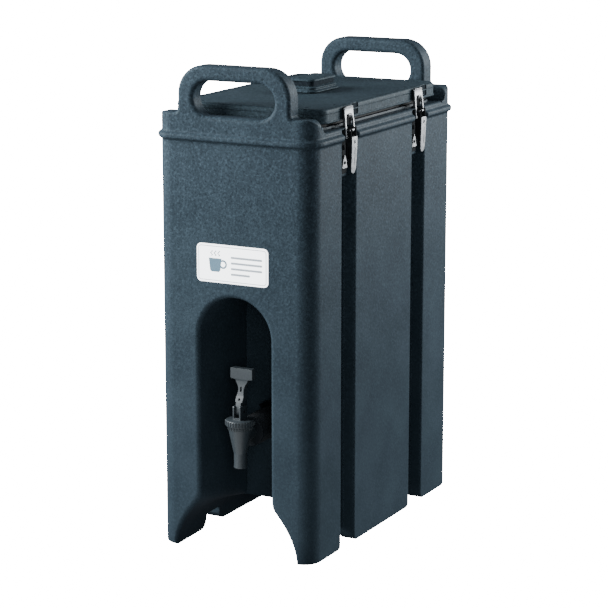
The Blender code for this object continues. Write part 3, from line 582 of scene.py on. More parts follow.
def silhouette():
    """Body and handle seen from the front, wider than the body below the shoulder."""
    x = HALF_X + 0.1
    half = [(x + 25, -20), (x + 25, SHOULDER_Z - SHOULDER_R)]
    half += arc(x - SHOULDER_R, SHOULDER_Z - SHOULDER_R, SHOULDER_R, 0, 90, 10)
    root = HANDLE_ROOT_R
    half += arc(HANDLE_HALF + root, SHOULDER_Z + root, root, 270, 180, 6)
    half += arc(HANDLE_HALF - HANDLE_R, TOP_Z - HANDLE_R, HANDLE_R, 0, 90, 20)
    return mirrored(half)


def front_opening(y, grow=0.0):
    """The arched recess and the flare below it, cut at a depth y. It narrows and drops inward."""
    depth = min(max((y + HALF_Y) / (RECESS_BACK + HALF_Y), 0.0), 1.0)
    spread = FLARE_HALF + (UNDER_HALF - FLARE_HALF) * depth - RECESS_HALF
    height = FLARE_Z + (UNDER_Z - FLARE_Z) * depth
    power = 1.8 * (6 / 1.8) ** depth
    curve = [(RECESS_HALF + spread, 0.0)]
    for t in np.radians(np.linspace(4, 90, 26)):
        across = RECESS_HALF + spread * math.cos(t) ** 2
        curve.append((across, height * math.sin(t) ** (2 / power)))
    curve.append((RECESS_HALF, 130.0))
    side = soften(resample(curve, 70), 14)
    half = [(RECESS_HALF + spread, -30.0)] + [tuple(p) for p in side]
    half += arc(0, RECESS_SPRING, RECESS_HALF, 0, 90, 26)[:-1]
    outline = mirrored(half)
    return offset(outline, grow) if grow else outline


def recess_cutter():
    """The arched recess, with a rounded lip where it meets the front."""
    lip = 6.0
    stations = [(-HALF_Y - 30, lip)] + [(-HALF_Y + d, i) for d, i in rounding(lip, 7)]
    stations += [(y, 0.0) for y in np.linspace(-HALF_Y + lip, RECESS_BACK, 12)[1:]]
    sections = [[(x, y, z) for x, z in front_opening(y, grow)] for y, grow in stations]
    return loft("recess", sections)


def under_cutter():
    """The open hollow behind the recess."""
    spread = UNDER_HALF - RECESS_HALF
    half = [(UNDER_HALF - 0.02, -30.0), (UNDER_HALF - 0.02, 0.0)]
    for t in np.radians(np.linspace(4, 90, 26)):
        across = RECESS_HALF + spread * math.cos(t) ** 2
        half.append((across - 0.02, UNDER_Z * math.sin(t) ** (2 / 6) - 0.02))
    return slab("under", mirrored(half), RECESS_BACK - 0.6, UNDER_REAR, "Y")


def notch_cutter(start, end, side):
    """The gap between two feet below a groove."""
    outline = arc(start - FOOT_R, FOOT_R, FOOT_R, -90, -4, 10)
    outline += arc(start + 4, NOTCH_Z - 4, 4, 180, 90, 5)
    outline += arc(end - 4, NOTCH_Z - 4, 4, 90, 0, 5)
    outline += arc(end + FOOT_R, FOOT_R, FOOT_R, 184, 270, 10)
    outline += [(end + FOOT_R, -5), (start - FOOT_R, -5)]
    low, high = sorted((side * (UNDER_HALF - 8), side * (HALF_X + 20)))
    return slab("notch", outline[::-1], low, high, "X")


def low_underside(grow):
    """The plain form of the flare and the hollow, for the inside of the double wall."""
    middle = 46.5
    sections = []
    rows = ((-HALF_Y - 30, FLARE_HALF, 70, 1.6), (-HALF_Y, FLARE_HALF, 70, 1.6))
    rows += ((RECESS_BACK, UNDER_HALF, UNDER_Z, 6.0), (UNDER_REAR + grow, UNDER_HALF, UNDER_Z, 6.0))
    for y, width, height, power in rows:
        half = [(width + grow, -30.0)]
        for t in np.radians(np.linspace(0, 90, 9)):
            across = middle + (width + grow - middle) * math.cos(t) ** (2 / power)
            half.append((across, (height + grow) * math.sin(t) ** (2 / power)))
        sections.append([(x, y, z) for x, z in mirrored(half)])
    return loft("low_underside", sections)


def build_body():
    """The outer shell: the plan outline, kept below the rim and in the two end towers, then cut."""
    column = body_column()
    outline = silhouette()
    block = [(HALF_X + 25, -20), (HALF_X + 25, RIM_Z - 4)]
    block += arc(HALF_X - 3.9, RIM_Z - 4, 4, 0, 90, 6)
    fillet_f = [(SADDLE_FRONT - 3, RIM_Z - 3), (SADDLE_FRONT + SADDLE_R + 1, RIM_Z - 3)]
    fillet_f += [(SADDLE_FRONT + SADDLE_R + 1, RIM_Z - 0.01)]
    fillet_f += arc(SADDLE_FRONT + SADDLE_R, RIM_Z + SADDLE_R, SADDLE_R, 270, 180, 8)
    fillet_f += [(SADDLE_FRONT - 3, RIM_Z + SADDLE_R)]
    fillet_r = [(SADDLE_FRONT + SADDLE_REAR - y, z) for y, z in reversed(fillet_f)]
    front = slab("tower_f", outline, -HALF_Y, SADDLE_FRONT, "Y", 5.0, 5.0, 6)
    join(front, slab("fill_f", fillet_f, -HALF_X - 20, HALF_X + 20, "X"))
    rear = slab("tower_r", outline, SADDLE_REAR, HALF_Y, "Y", 5.0, 5.0, 6)
    join(rear, slab("fill_r", fillet_r, -HALF_X - 20, HALF_X + 20, "X"))
    low_block = [(HALF_X + 25, -20), (HALF_X + 25, SHOULDER_Z - SHOULDER_R - 8)]
    keep = slab("keep", mirrored(low_block), -HALF_Y - 20, HALF_Y + 20, "Y")
    saddle = rounded_rect(-160, 160, SADDLE_FRONT - 6, SADDLE_REAR + 6, 2, 2)
    cut(keep, slab("keep_cut", saddle, RIM_Z - 12, RIM_Z + 40))
    rim = slab("rim", mirrored(block), SADDLE_FRONT - 7, SADDLE_REAR + 7, "Y")
    join(keep, rim, front, rear)
    carve(column, "INTERSECT", [keep])
    room = slab("room", plan_outline(skin=SKIN, corner_steps=5), ROOM_Z, 519)
    half = RECESS_HALF + SKIN
    arch = [(half, -30)] + arc(0, RECESS_SPRING, half, 0, 180, 24) + [(-half, -30)]
    cut(
        room,
        slab("arch_wall", arch, -HALF_Y - 40, RECESS_BACK + SKIN, "Y"),
        low_underside(SKIN),
    )
    cut(
        column,
        room,
        slab("mouth", rounded_rect(-82.5, 82.5, -166, 162, 23), 510, 560),
        recess_cutter(),
        under_cutter(),
    )
    for start, end in GROOVES:
        for side in (1, -1):
            cut(column, notch_cutter(start, end, side))
            low, high = sorted((side * (GROOVE_FLOOR - 2), side * PAD_X))
            outline = rounded_rect(start - 1, end + 1, PAD_LOW, RIM_Z - 3, 1, 2)
            rims = (0.0, 1.0) if side > 0 else (1.0, 0.0)
            join(column, slab("pad", outline, low, high, "X", *rims, 3))
    r = (GRIP_HIGH - GRIP_LOW) / 2 - 0.01
    grip = rounded_rect(-GRIP_HALF, GRIP_HALF, GRIP_LOW, GRIP_HIGH, r, 16)
    label = box_mm("label_plate")
    bed = rounded_rect(
        label[0].x - 0.3, label[1].x + 0.3, label[0].z - 0.3, label[1].z + 0.3, 6.3, 8
    )
    cut(
        column,
        flared_cutter("grip_f", grip, -HALF_Y, SADDLE_FRONT, "Y", 6.0),
        flared_cutter("grip_r", grip, SADDLE_REAR, HALF_Y, "Y", 6.0),
        rod("shank_hole", (0, RECESS_BACK - 5, SHANK_Z), (0, -62, SHANK_Z), 13.3, 48),
        slab("bed", bed, -HALF_Y - 10, -HALF_Y + 1.0, "Y"),
    )
    column.name = "outer_shell_skin"
    return piece(column, "body", BODY, ["outer_shell"])


# ---------------------------------------------------------------- label


def build_label():
    """A white plate with a border, a steaming cup and four plain bars."""
    low, high = box_mm("label_plate")
    cx, cz = (low.x + high.x) / 2, (low.z + high.z) / 2
    outline = rounded_rect(low.x, high.x, low.z, high.z, 6, 10)
    plate = slab("label_face", outline, low.y, high.y, "Y", 0.25, 0.0, 3)
    piece(plate, "body", WHITE, ["label_plate"])
    face = low.y

    def ink(name, shape):
        return slab(name, shape, face - 0.04, face + 0.2, "Y")

    rim = ink("label_border", offset(outline, -2.2))
    cut(rim, slab("border_hole", offset(outline, -3.0), face - 2, face + 2, "Y"))
    piece(rim, "body", EDGE_INK, weighted=False)
    cup = [(-9, 9.5), (-7.2, -5.5), (-5.2, -7.5), (5.2, -7.5), (7.2, -5.5), (9, 9.5)]
    cup = [(cx - 24 + x, cz - 3 + z) for x, z in cup]
    mark = ink("label_cup", cup)
    ear = ink("label_ear", [(cx - 13 + x, cz - 0.5 + z) for x, z in arc(0, 0, 5.6, 0, 345, 23)])
    hole = [(cx - 13 + x, cz - 0.5 + z) for x, z in arc(0, 0, 3.4, 0, 345, 23)]
    cut(ear, slab("ear_hole", hole, face - 2, face + 2, "Y"))
    join(mark, ear)
    piece(mark, "body", INK, weighted=False)
    for index, x in enumerate((-29, -24, -19)):
        rise = np.linspace(0, 4, 17)
        path = [(cx + x + 1.1 * math.sin(t * 2.2), cz + 9.3 + t * 1.7) for t in rise]
        wave = [(u - 0.7, v) for u, v in path] + [(u + 0.7, v) for u, v in reversed(path)]
        steam = ink(f"label_steam_{index}", wave[::-1])
        piece(steam, "body", INK, weighted=False)
    for index, (z, length) in enumerate(((9, 44), (2, 44), (-5, 44), (-12, 27))):
        bar = rounded_rect(cx - 2, cx - 2 + length, cz + z - 1.3, cz + z + 1.3, 1.25, 4)
        line = ink(f"label_bar_{index}", bar)
        piece(line, "body", EDGE_INK, weighted=False)


# ---------------------------------------------------------------- lid


def build_lid():
    """The lid's cover, the sleeve in its bore, and the slot behind each latch, whose dark back is
    painted shade.
    """
    plan = rounded_rect(-LID_HALF, LID_HALF, LID_FRONT, LID_REAR, 16, 14)
    levels = [(LID_LOW, 0.9), (LID_LOW + 0.3, 0.3), (LID_LOW + 0.9, 0.0), (LID_LOW + 1.9, 0.0)]
    levels += [(LID_LOW + 2.5, 0.5), (LID_LOW + 3.0, 1.1), (558.2, 1.1), (558.5, 1.9)]
    levels += [(559.3, 1.9), (559.6, 1.1), (562.8, 1.1), (564.2, 1.6), (565.3, 2.7), (565.9, 4.4)]
    levels += [(566.0, 6.5), (565.9, 9.0), (565.5, 11.0), (565.3, 14.0)]
    sections = [[(x, y, z) for x, y in offset(plan, -inset)] for z, inset in levels]
    cover = loft("lid_cover", sections)
    inside = offset(plan, -3.6)
    cut(
        cover,
        slab("lid_room", inside, LID_LOW - 5, LID_TOP - 3.6),
        rod("lid_bore", (0, VENT_Y, 540), (0, VENT_Y, 580), BORE_R, 48),
    )
    for y in LATCH_Y.values():
        for side in (1, -1):
            low, high = sorted((side * (LID_HALF - 3.2), side * (LID_HALF + 6)))
            ends = (y + SLOT[0] - 0.2, y + SLOT[1] + 0.2)
            hole = rounded_rect(*ends, LID_LOW + 3.2, LID_TOP + 9, 1, 3)
            cut(cover, slab("lid_notch", hole, low, high, "X"))
            near, far = sorted((side * 88.5, side * 97.5))
            dent = rounded_rect(near, far, y - 5.5, y - 0.5, 2.2, 5)
            cut(cover, slab("dent", dent, LID_TOP - 1.7, LID_TOP + 5, "Z", 0.8, 0.0, 2))
    dimple = [(0, 567), (3.2, 567), (2.2, 564.6), (0, 564.4)]
    for x, y in ((72, -150), (-72, -150), (72, 142), (-72, 142)):
        cut(cover, revolve("dimple", dimple, (x, y, 0), 24))
    piece(cover, "lid", LID, ["lid_shell"])
    inner, outer, low, high = BORE_R - 0.6, BORE_R - 0.05, 524, 564.8
    wall = [(inner, low), (outer, low), (outer, high), (inner, high)]
    sleeve = revolve("lid_vent_sleeve", wall, (0, VENT_Y, 0), 48, closed=True)
    piece(sleeve, "lid", TANK)
    for place, y in LATCH_Y.items():
        for side_name, side in SIDES.items():
            # painted shade: a near-black sheet at the back of each notch stands in for the shade of a
            # deeper hole
            low, high = sorted((side * (LID_HALF - 3.1), side * (LID_HALF - 2.3)))
            ends = (y + SLOT[0], y + SLOT[1])
            back = rounded_rect(*ends, LID_LOW + 3.4, LID_TOP - 1.4, 0.9, 3)
            shade_insert = slab(f"lid_slot_{place}_{side_name}", back, low, high, "X")
            piece(shade_insert, "lid", PAINTED_SHADE)
            low, high = sorted((side * (LID_HALF - 2.4), side * (LID_HALF - 0.8)))
            across = rounded_rect(*ends, 558.0, 559.4, 0.5, 3)
            bar = slab(f"lid_slot_bar_{place}_{side_name}", across, low, high, "X")
            piece(bar, "lid", LID)


def build_vent():
    """The vent cap with its stem, and a dark band of painted shade set back between its rim and its
    flange.
    """
    low = LID_TOP + 0.3
    half_x, half_y, corner = 18.5, 34.0, 8
    sections = []
    stages = [(0, 3.4), (0.4, 4.0), (1.7, 4.0), (2.2, 3.5), (2.8, 1.6), (3.4, 0.9), (4.4, 0.8)]
    stages += [(4.9, 1.3), (5.4, 1.6), (6.2, 1.5), (6.7, 0.9), (7.2, -1.2), (7.8, -2.2)]
    stages += [(12.9, -2.2), (13.4, -1.8), (13.8, -0.4), (14.2, 0.0), (16.0, 0.0)]
    stages += [(16.5, -0.4), (16.8, -1.2), (17.5, -4.0), (18.2, -7.0), (18.6, -10.0)]
    for z, grow in stages:
        x, y = half_x + grow, half_y + grow
        ring = rounded_rect(-x, x, VENT_Y - y, VENT_Y + y, max(corner + grow, 1.5), 8)
        sections.append([(u, v, low + z) for u, v in ring])
    cap = loft("vent_cover", sections)
    seat = [(10.2, low + 2), (15.2, low + 2), (15.2, low - 3), (10.2, low - 3)]
    cut(cap, revolve("vent_seat", seat, (0, VENT_Y, 0), 48, closed=True))
    join(cap, rod("vent_stem", (0, VENT_Y, 521), (0, VENT_Y, low + 5), 8, 40, 1.5))
    piece(cap, "vent_cap", LID, ["vent_cap"])
    # painted shade: a near-black ring in the set-back stands in for its shadow
    outline = rounded_rect(-16.7, 16.7, VENT_Y - 32.2, VENT_Y + 32.2, 6.2, 8)
    shade_band = slab("vent_shade_band", outline, low + 7.9, low + 13.3)
    hole = rounded_rect(-15.8, 15.8, VENT_Y - 31.3, VENT_Y + 31.3, 5.3, 8)
    cut(shade_band, slab("band_hole", hole, low, low + 30))
    piece(shade_band, "vent_cap", PAINTED_SHADE)


# ---------------------------------------------------------------- tap


def toothed(name, count, outer, inner, low, high, tooth=0.5):
    """A ring of vertical ribs round the tap's axis."""
    outline = []
    for k in range(count):
        for share, r in ((0.0, outer), (tooth * 0.8, outer), (tooth, inner), (0.9, inner)):
            a = 2 * math.pi * (k + share) / count
            outline.append((r * math.cos(a), TAP_Y + r * math.sin(a)))
    return slab(name, outline, low, high, "Z", 0.3, 0.3, 2)


def build_tap():
    """The bowl with its outlet, the threaded sleeve, the bonnet with its ears, and the paddle."""
    bowl = [(0, 168), (15.0, 168), (15.0, 161.8), (14.9, 160.8), (14.5, 159.2), (8.9, 132.5)]
    bowl += [(8.3, 130.4), (8.1, 129.6), (8.1, 114), (8.35, 113), (8.35, 111.6), (7.9, 111)]
    bowl += [(6.5, 111), (6.2, 111.6), (6.2, 135.4), (0, 135.4)]
    valve = revolve("tap_bowl", bowl, (0, TAP_Y, 0), 72)
    neck = rod("neck", (0, TAP_Y + 4, SHANK_Z), (0, -160, SHANK_Z), 10, 40)
    thread = [(0, 0), (18.2, 0), (19.3, 0.8)]
    for turn in range(22):  # a buttress thread of 3.3 mm pitch
        h = 1.6 + turn * 3.3
        thread += [(19.5, h), (19.5, h + 0.9), (17.4, h + 1.9), (17.4, h + 2.4)]
    thread += [(19.5, 75.0), (19.5, 76.5), (0, 76.5)]
    sleeve = revolve("sleeve", thread, (0, -167, SHANK_Z), 48, "Y")
    face = RECESS_BACK - 3.7
    flange = rod("flange", (0, face - 6, SHANK_Z), (0, face, SHANK_Z), 25, 48, 1.2)
    shank = rod("shank", (0, face - 3, SHANK_Z), (0, -40, SHANK_Z), 12.7, 40, 1.0)
    ribs = toothed("ribs", 26, 15.9, 14.4, 161.6, 166.3, 0.45)
    join(valve, neck, ribs)
    join(sleeve, flange, shank)
    for turn in (-52, 38, 128, 218):
        a = math.radians(turn)
        wing = [(15, -1.4), (25.5, -1.1), (26.3, 0), (25.5, 1.1), (15, 1.4)]
        blade = [
            (u * math.cos(a) - v * math.sin(a), SHANK_Z + u * math.sin(a) + v * math.cos(a))
            for u, v in wing
        ]
        join(sleeve, slab("wing", blade, face - 26, face - 5, "Y", 0.6, 0.0, 2))
    sleeve.name = "tap_sleeve"
    # painted shade: the threaded sleeve takes the darkened black of the recess
    piece(sleeve, "body", SHADED_BLACK, sharp=40)
    piece(valve, "body", BLACK, ["tap_body"], sharp=40)
    cap = [(0, 174.5), (8.5, 174.5), (11, 174.4), (17.2, 174.0), (18.0, 173.6), (18.3, 172.9)]
    cap += [(18.3, 167.0), (18.0, 166.4), (16.3, 166.4), (16.3, 168.3), (0, 168.3)]
    bonnet = revolve("tap_cap", cap, (0, TAP_Y, 0), 72)
    knurl = cut(
        toothed("knurl", 30, 19.1, 17.9, 167.6, 172.9, 0.62),
        rod("hollow", (0, TAP_Y, 150), (0, TAP_Y, 170), 17.0, 48),
    )
    outline = rounded_rect(-199.5, -183, 170, 191.8, 1.6, 5)
    ears = slab("ears", outline, -5.7, 5.7, "X", 0.6, 0.6, 3)
    join(bonnet, knurl, ears)
    cut(
        bonnet,
        slab("slot", rounded_rect(TAP_Y - 20, TAP_Y + 20, 177, 200, 0.6, 2), -3.7, 3.7, "X"),
        rod("pin_hole", (-20, TAP_Y, PIN_Z), (20, TAP_Y, PIN_Z), PIN_HOLE_R, 24),
        rod("stem_hole", (0, TAP_Y, 150), (0, TAP_Y, 180), 3.4, 24),
    )
    piece(bonnet, "body", BLACK, ["tap_bonnet"], sharp=40)
    face = [(3.4, PIN_Z - 6.4), (3.4, 195.6), (4.9, 196.9), (5.2, 199.5), (5.0, 203), (4.1, 207)]
    face += [(3.8, 210), (4.0, 213), (5.6, 217), (8.0, 221), (8.9, 223.2), (10.5, 224.2)]
    face += [(14.6, 224.5), (15.5, 225.4), (15.5, 237.2), (14.8, 238.0)]
    paddle = slab("tap_paddle", mirrored(face), TAP_Y - 15, TAP_Y + 20, "Y")
    side = arc(TAP_Y, PIN_Z, 6, 180, 360, 20)
    side += [(-184.5, 192), (-182.5, 197), (-180.5, 203), (-179.5, 212), (-178.7, 219)]
    side += [(-178.6, 224), (-178.6, 239), (-187, 239), (-187, 224.5), (-186.2, 222)]
    side += [(-187.0, 216), (-188.2, 210), (-190, 204), (-192.2, 200), (-193.8, 196.5)]
    side += [(-195.4, 192.5), (-196.1, 189)]
    carve(paddle, "INTERSECT", [slab("paddle_side", side, -30, 30, "X")])
    cut(
        paddle,
        rod("hub_hole", (-20, TAP_Y, PIN_Z), (20, TAP_Y, PIN_Z), PIN_HOLE_R, 24),
        slab("slit", rounded_rect(-1.3, 1.3, 208.5, 215, 1.2, 5), -198, -186.2, "Y"),
        rod("dimple", (0, -196, 199.5), (0, -190.2, 199.5), 1.5, 20),
    )
    edge_round(paddle, 0.7, 40)
    piece(paddle, "tap_handle", BLACK, ["tap_handle"], sharp=50)


# ---------------------------------------------------------------- draw latches

# (distance from the middle plane, height) of the lever's pivot and of the bail's feet
PIVOT = (114.0, 535.5)
FOOT = (111.5, 527.5)
PIVOT_HOLE_R, FOOT_HOLE_R = 1.85, 1.65


class Latch:
    """One draw latch, on one side of the body."""

    def __init__(self, place, side_name):
        self.tag = f"{place}_{side_name}"
        self.y = LATCH_Y[place]
        self.side = SIDES[side_name]

    def face_plate(self, name, outline, low_x, high_x, round_out=0.25, steps=2):
        """A sheet seen from the side of the body: outline in (y from the latch's middle, z)."""
        moved = [(y + self.y, z) for y, z in outline]
        if self.side > 0:
            return slab(name, moved, low_x, high_x, "X", 0.0, round_out, steps)
        return slab(name, moved, -high_x, -low_x, "X", round_out, 0.0, steps)

    def cheek(self, name, outline, low_y, high_y):
        """A sheet square to the body: outline in (distance from the middle plane, z)."""
        moved = [(self.side * x, z) for x, z in outline]
        if self.side < 0:
            moved.reverse()
        return slab(name, moved, self.y + low_y, self.y + high_y, "Y")

    def pin(self, name, x, z, low_y, high_y, radius, rounded=0.0, sides=24):
        start = (self.side * x, self.y + low_y, z)
        end = (self.side * x, self.y + high_y, z)
        return rod(name, start, end, radius, sides, rounded)

    def dome(self, name, y, z, low_x, height, radius, hollow=0.0):
        """A rivet head on a plate, with a dimple if it is hollow."""
        profile = [(0, 0), (radius, 0)]
        for a in np.radians(np.linspace(0, 80, 7)):
            up = 0.15 * height + 0.85 * height * math.sin(a)
            profile.append((radius * math.cos(a) ** 0.8, up))
        if hollow:
            profile += [(hollow * 1.15, height), (hollow, height * 0.75)]
            profile += [(hollow * 0.9, 0.25 * height), (0, 0.22 * height)]
        else:
            profile.append((0, height))
        obj = revolve(name, profile, (0, 0, 0), 28, "X")
        if self.side < 0:
            obj.data.transform(Matrix.Scale(-1, 4, (1, 0, 0)))
            obj.data.flip_normals()
        place = Vector((self.side * low_x, self.y + y, z))
        obj.data.transform(Matrix.Translation(place * MM))
        return obj

    def rivet(self, head, body, node):
        piece(head, body, DARK_STEEL, [node], sharp=60)

    def base(self):
        low_x, high_x = PAD_X + 0.3, PAD_X + 1.9
        outline = [(-9, 533.5)] + arc(-4, 485, 5, 180, 250, 5) + arc(4, 485, 5, 290, 360, 5)
        outline += [(9, 533.5)]
        plate = self.face_plate("plate", outline, low_x, high_x)
        ear = [(low_x + 0.5, 533), (low_x + 0.5, 521), (105, 522)]
        ear += arc(*PIVOT, 2.8, -70, 110, 12) + [(106, 537)]
        ears = [self.cheek(f"ear{e}", ear, y, y + 1.5) for e, y in (("a", -6), ("b", 4.5))]
        rail = [(low_x + 0.5, 524), (low_x + 0.5, 488), (high_x + 1.6, 489), (high_x + 2.2, 523)]
        rails = [self.cheek(f"rail{e}", rail, y, y + 1.0) for e, y in (("a", -9), ("b", 8))]
        join(plate, *ears, *rails)
        cut(plate, self.pin("hole", *PIVOT, -20, 20, PIVOT_HOLE_R))
        plate.name = f"latch_base_plate_{self.tag}"
        piece(plate, "body", DARK_STEEL, [f"latch_base_{self.tag}"])
        # partly painted highlight: this lighter steel tab, with its triangle, is shaped after a
        # bright patch on the lower end of the dark plate
        foot = [(-6.6, 490.2), (-6.6, 489.0)] + arc(-5.2, 488.4, 1.4, 180, 270, 3)
        foot += arc(5.2, 488.4, 1.4, 270, 360, 3) + [(6.6, 489.0), (6.6, 490.2), (5.0, 491.0)]
        foot += [(4.6, 495.5), (3.0, 499.5), (0.9, 503.4)]
        foot += [(-0.9, 503.4), (-3.0, 499.5), (-4.6, 495.5), (-5.0, 491.0)]
        tab = self.face_plate(f"latch_base_tab_{self.tag}", foot, high_x + 0.02, high_x + 2.0)
        turns = np.radians(range(0, 360, 15))
        eye = [(3.0 * math.cos(a), 493.8 + 2.1 * math.sin(a)) for a in turns]
        cut(tab, self.face_plate("eye", eye, high_x - 1, high_x + 4, 0.0))
        piece(tab, "body", STEEL)
        top = high_x + 0.2
        head = self.dome(f"rivet_low_{self.tag}", 0, 493.8, top, 1.4, 2.0, 1.1)
        self.rivet(head, "body", f"base_rivet_low_{self.tag}")
        head = self.dome(f"rivet_high_{self.tag}", 0, 513, top + 0.3, 1.5, 3.1)
        self.rivet(head, "body", f"base_rivet_high_{self.tag}")

    def lever(self):
        thick, out = 1.3, 117.4
        outline = [(7.5, 526.4), (6.6, 527.4), (-6.6, 527.4), (-7.5, 526.4)]
        outline += arc(0, 488, 6.5, 180, 360, 20)
        web = self.face_plate("web", outline, out - thick, out, 0.4, 3)
        cheek = [(out - thick - 0.1, 533.6), (out - thick - 0.1, 490), (out - thick - 1.6, 490)]
        cheek += [(out - thick - 3.2, 514), (108.7, 522.5), (108.5, 529), (111.2, 535.5)]
        cheek += arc(*PIVOT, 2.9, 170, 60, 10)
        sides = [self.cheek(f"side{e}", cheek, y, y + 1.2) for e, y in (("a", -7.3), ("b", 6.1))]
        bridge = [(110.4, 520), (110.4, 500), (111.6, 500), (111.6, 520)]
        shaded_cheeks = join(*sides, self.cheek("bridge", bridge, -6.6, 6.6))
        cut(
            shaded_cheeks,
            self.pin("a", *PIVOT, -20, 20, PIVOT_HOLE_R),
            self.pin("b", *FOOT, -20, 20, FOOT_HOLE_R),
        )
        shaded_cheeks.name = f"latch_lever_cheeks_{self.tag}"
        eye = [(2.1 * math.cos(a), 521 + 2.5 * math.sin(a)) for a in np.radians(range(0, 360, 18))]
        rib = rounded_rect(-2.2, 2.2, 492, 514, 2.1, 8)
        cut(
            web,
            self.face_plate("eye", eye, out - 3, out + 3, 0.0),
            self.face_plate("rib", rib, out - 0.35, out + 3, 0.0),
        )
        web.name = f"latch_lever_arm_{self.tag}"
        tilt = 2.0 / 45  # the arm comes in by about 2 mm over its length
        sliced(web, "Z", range(490, 525, 4))
        sliced(shaded_cheeks, "Z", range(494, 525, 4))

        def lean(x, y, z):
            drop = max(0.0, 524.0 - z)
            return x - self.side * tilt * drop * (0.4 + 0.6 * drop / 42), y, z

        reshape(web, lean)
        reshape(shaded_cheeks, lean)
        # painted shade: the lever's cheeks take the near-black latch material, though they are the
        # same steel as the arm, to look shaded
        piece(shaded_cheeks, f"latch_lever_{self.tag}", DARK_STEEL)
        piece(web, f"latch_lever_{self.tag}", STEEL, [f"latch_lever_{self.tag}"])

    def bail(self):
        half, leg, foot_z = 12.6, 2.6, FOOT[1] - 1.9
        inner, head_low, head_high = half - leg, 555.4, 564.3
        outer = [(half, foot_z)] + arc(half - 2.6, head_high - 2.6, 2.6, 0, 90, 6)
        outer += arc(-half + 2.6, head_high - 2.6, 2.6, 90, 180, 6) + [(-half, foot_z)]
        loop = self.face_plate("loop", outer, 110.6, 112.4, 0.5, 3)
        hole = [(inner, foot_z - 9)] + arc(inner - 7, head_low - 7, 7, 0, 90, 8)
        hole += arc(-inner + 7, head_low - 7, 7, 90, 180, 8) + [(-inner, foot_z - 9)]
        cut(loop, self.face_plate("hole", hole, 100, 120, 0.0))
        sliced(loop, "Z", [*range(529, 548, 4), 548, *range(551, 564, 2)])

        def bend(x, y, z):
            up = z - FOOT[1]
            lean = -0.105 * max(up, 0.0)
            curl = 0.045 * max(0.0, z - 559.5) ** 2
            narrow = 1 - 0.0028 * max(up, 0.0)
            return x + self.side * (lean + curl), self.y + (y - self.y) * narrow, z

        reshape(loop, bend)
        feet = [
            self.pin("foot", *FOOT, low, high, 1.4, 0.4)
            for low, high in ((-inner - 1, -6.2), (6.2, inner + 1))
        ]
        join(loop, *feet)
        loop.name = f"latch_bail_loop_{self.tag}"
        piece(loop, f"latch_bail_{self.tag}", STEEL, [f"latch_bail_{self.tag}"])

    def keeper(self):
        low_x, high_x = LID_HALF + 0.3, LID_HALF + 1.4
        outline = rounded_rect(-10.4, 10.4, 540.6, 564.6, 2.2, 5)
        plate = self.face_plate("plate", outline, low_x, high_x, 0.4, 3)
        lug = [(high_x - 0.4, 549.6), (108.6, 549.9), (110.4, 551.2), (111.4, 553.0)]
        lug += [(111.6, 554.8), (111.2, 555.2), (110.5, 555.1), (110.2, 553.9), (109.4, 552.6)]
        lug += [(108.2, 551.8), (high_x - 0.4, 551.6)]
        hook = self.cheek(f"latch_keeper_hook_{self.tag}", lug, -4.6, 4.6)
        edge_round(hook, 0.25, 50)
        piece(hook, "lid", STEEL)
        plate.name = f"latch_keeper_plate_{self.tag}"
        edge_round(plate, 0.25, 50)
        piece(plate, "lid", DARK_STEEL, [f"latch_keeper_{self.tag}"])
        for end, y in (("a", -8.2), ("b", 8.2)):
            head = self.dome(f"keeper_head_{end}_{self.tag}", y, 551.6, high_x + 0.02, 0.75, 1.7)
            self.rivet(head, "lid", f"keeper_rivet_{end}_{self.tag}")

    def build(self):
        self.base()
        self.lever()
        self.bail()
        self.keeper()
        pin = self.pin(f"latch_pin_{self.tag}", *PIVOT, -8.4, 8.4, 1.6, 0.5)
        piece(pin, "body", STEEL, [f"latch_pivot_pin_{self.tag}"], sharp=60)


build_body()
build_label()
build_lid()
build_vent()
build_tap()
for place_name in LATCH_Y:
    for side_label in SIDES:
        Latch(place_name, side_label).build()

# ---------------------------------------------------------------- floor, lights, camera

MIDDLE, COOL = (0, 0, 0.33), (0.95, 0.98, 1.0)
CAMERA_PLACE, CAMERA_AZIMUTH, CAMERA_DOWN = (1.33185, -2.55218, 0.92547), 27.731, 12.565
LENS_MM, SENSOR_MM = 132.93, 36.0


def pale(name):
    """Evenly lit white, which lights nothing else."""
    glow = {"Emission_Color": (1.0, 1.0, 1.0, 1.0), "Emission_Strength": 24.0}
    m = Material(name, Roughness=0.75, **glow)
    m.drive("Base Color", m.mix(m.noise(900, 3.0), (0.86, 0.87, 0.88), (0.89, 0.90, 0.90)))
    m.made.cycles.emission_sampling = "NONE"
    return m.made


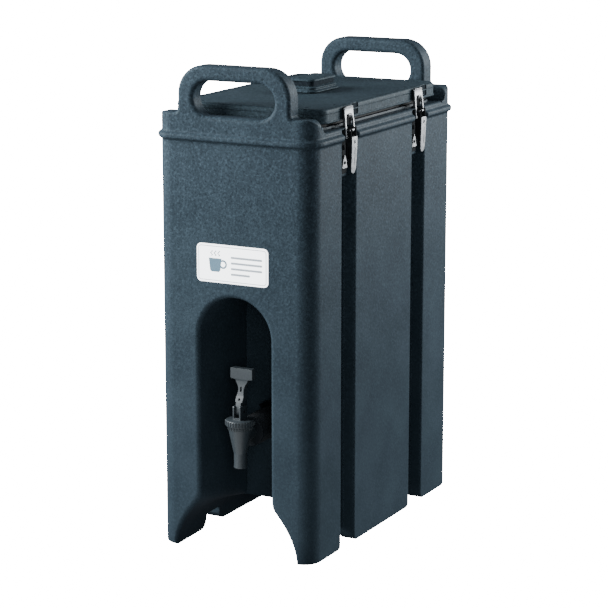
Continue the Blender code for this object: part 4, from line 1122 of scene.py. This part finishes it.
def build_stage():
    """A round pale floor that sweeps up into a wall far from the object."""
    sides, flat, sweep = 72, 7000, 2500
    profile = [(500, 0), (1500, 0), (5000, 0), (flat, 0)]
    profile += [(flat + x, z) for x, z in arc(0, sweep, sweep, -85, 0, 12)]
    profile.append((flat + sweep, 7000))
    turns = np.linspace(0, 2 * math.pi, sides + 1)[:-1]
    bm = bmesh.new()
    rings = []
    for r, h in profile:
        rings.append([bm.verts.new((r * math.cos(a), r * math.sin(a), h)) for a in turns])
    bm.faces.new(rings[0])
    for a, b in zip(rings, rings[1:]):
        for i in range(sides):
            j = (i + 1) % sides
            bm.faces.new((a[i], a[j], b[j], b[i]))
    floor = placed(bm, "studio_floor")
    floor.data.shade_smooth()
    floor.data.materials.append(pale("studio_pale"))
    floor.visible_diffuse = False
    floor.visible_glossy = False


def softbox(name, target, azimuth, elevation, distance, width, height, power, colour=COOL):
    """A soft light that faces the target. Azimuth 0 is in front of the tap, 90 on the +X side."""
    light = bpy.data.lights.new(name, "AREA")
    light.shape = "RECTANGLE"
    light.size, light.size_y = width, height
    light.energy = power
    light.color = colour
    obj = bpy.data.objects.new(name, light)
    bpy.context.scene.collection.objects.link(obj)
    a, e = math.radians(azimuth), math.radians(elevation)
    away = Vector((math.sin(a) * math.cos(e), -math.cos(a) * math.cos(e), math.sin(e)))
    obj.location = Vector(target) + away * distance
    obj.rotation_mode = "QUATERNION"
    obj.rotation_quaternion = away.to_track_quat("Z", "Y")
    obj.visible_camera = False


build_stage()
softbox("key_left", (0, -0.1, 0.47), -60, 22, 1.12, 0.8, 0.8, 63)
softbox("key_right", MIDDLE, 140, 17, 1.9, 1.1, 1.2, 104)
softbox("strip", MIDDLE, -28, -5, 0.95, 0.22, 0.40, 2.2)
softbox("fill", MIDDLE, 30, 12, 2.6, 0.8, 0.8, 19, (0.92, 0.97, 1.0))
# light thrown back up from the floor in front of the feet
softbox("bounce", (0, -0.42, 0.02), 0, -90, 0.015, 0.30, 0.36, 0.6)

world = bpy.data.worlds.new("studio")
world.use_nodes = True
world.node_tree.nodes["Background"].inputs["Color"].default_value = (0.14, 0.15, 0.17, 1.0)
bpy.context.scene.world = world

lens = bpy.data.cameras.new("camera")
lens.lens = LENS_MM
lens.sensor_width = SENSOR_MM
lens.clip_start, lens.clip_end = 0.05, 60.0
camera = bpy.data.objects.new("camera", lens)
bpy.context.scene.collection.objects.link(camera)
camera.location = CAMERA_PLACE
camera.rotation_euler = (math.radians(90 - CAMERA_DOWN), 0.0, math.radians(CAMERA_AZIMUTH))
bpy.context.scene.camera = camera
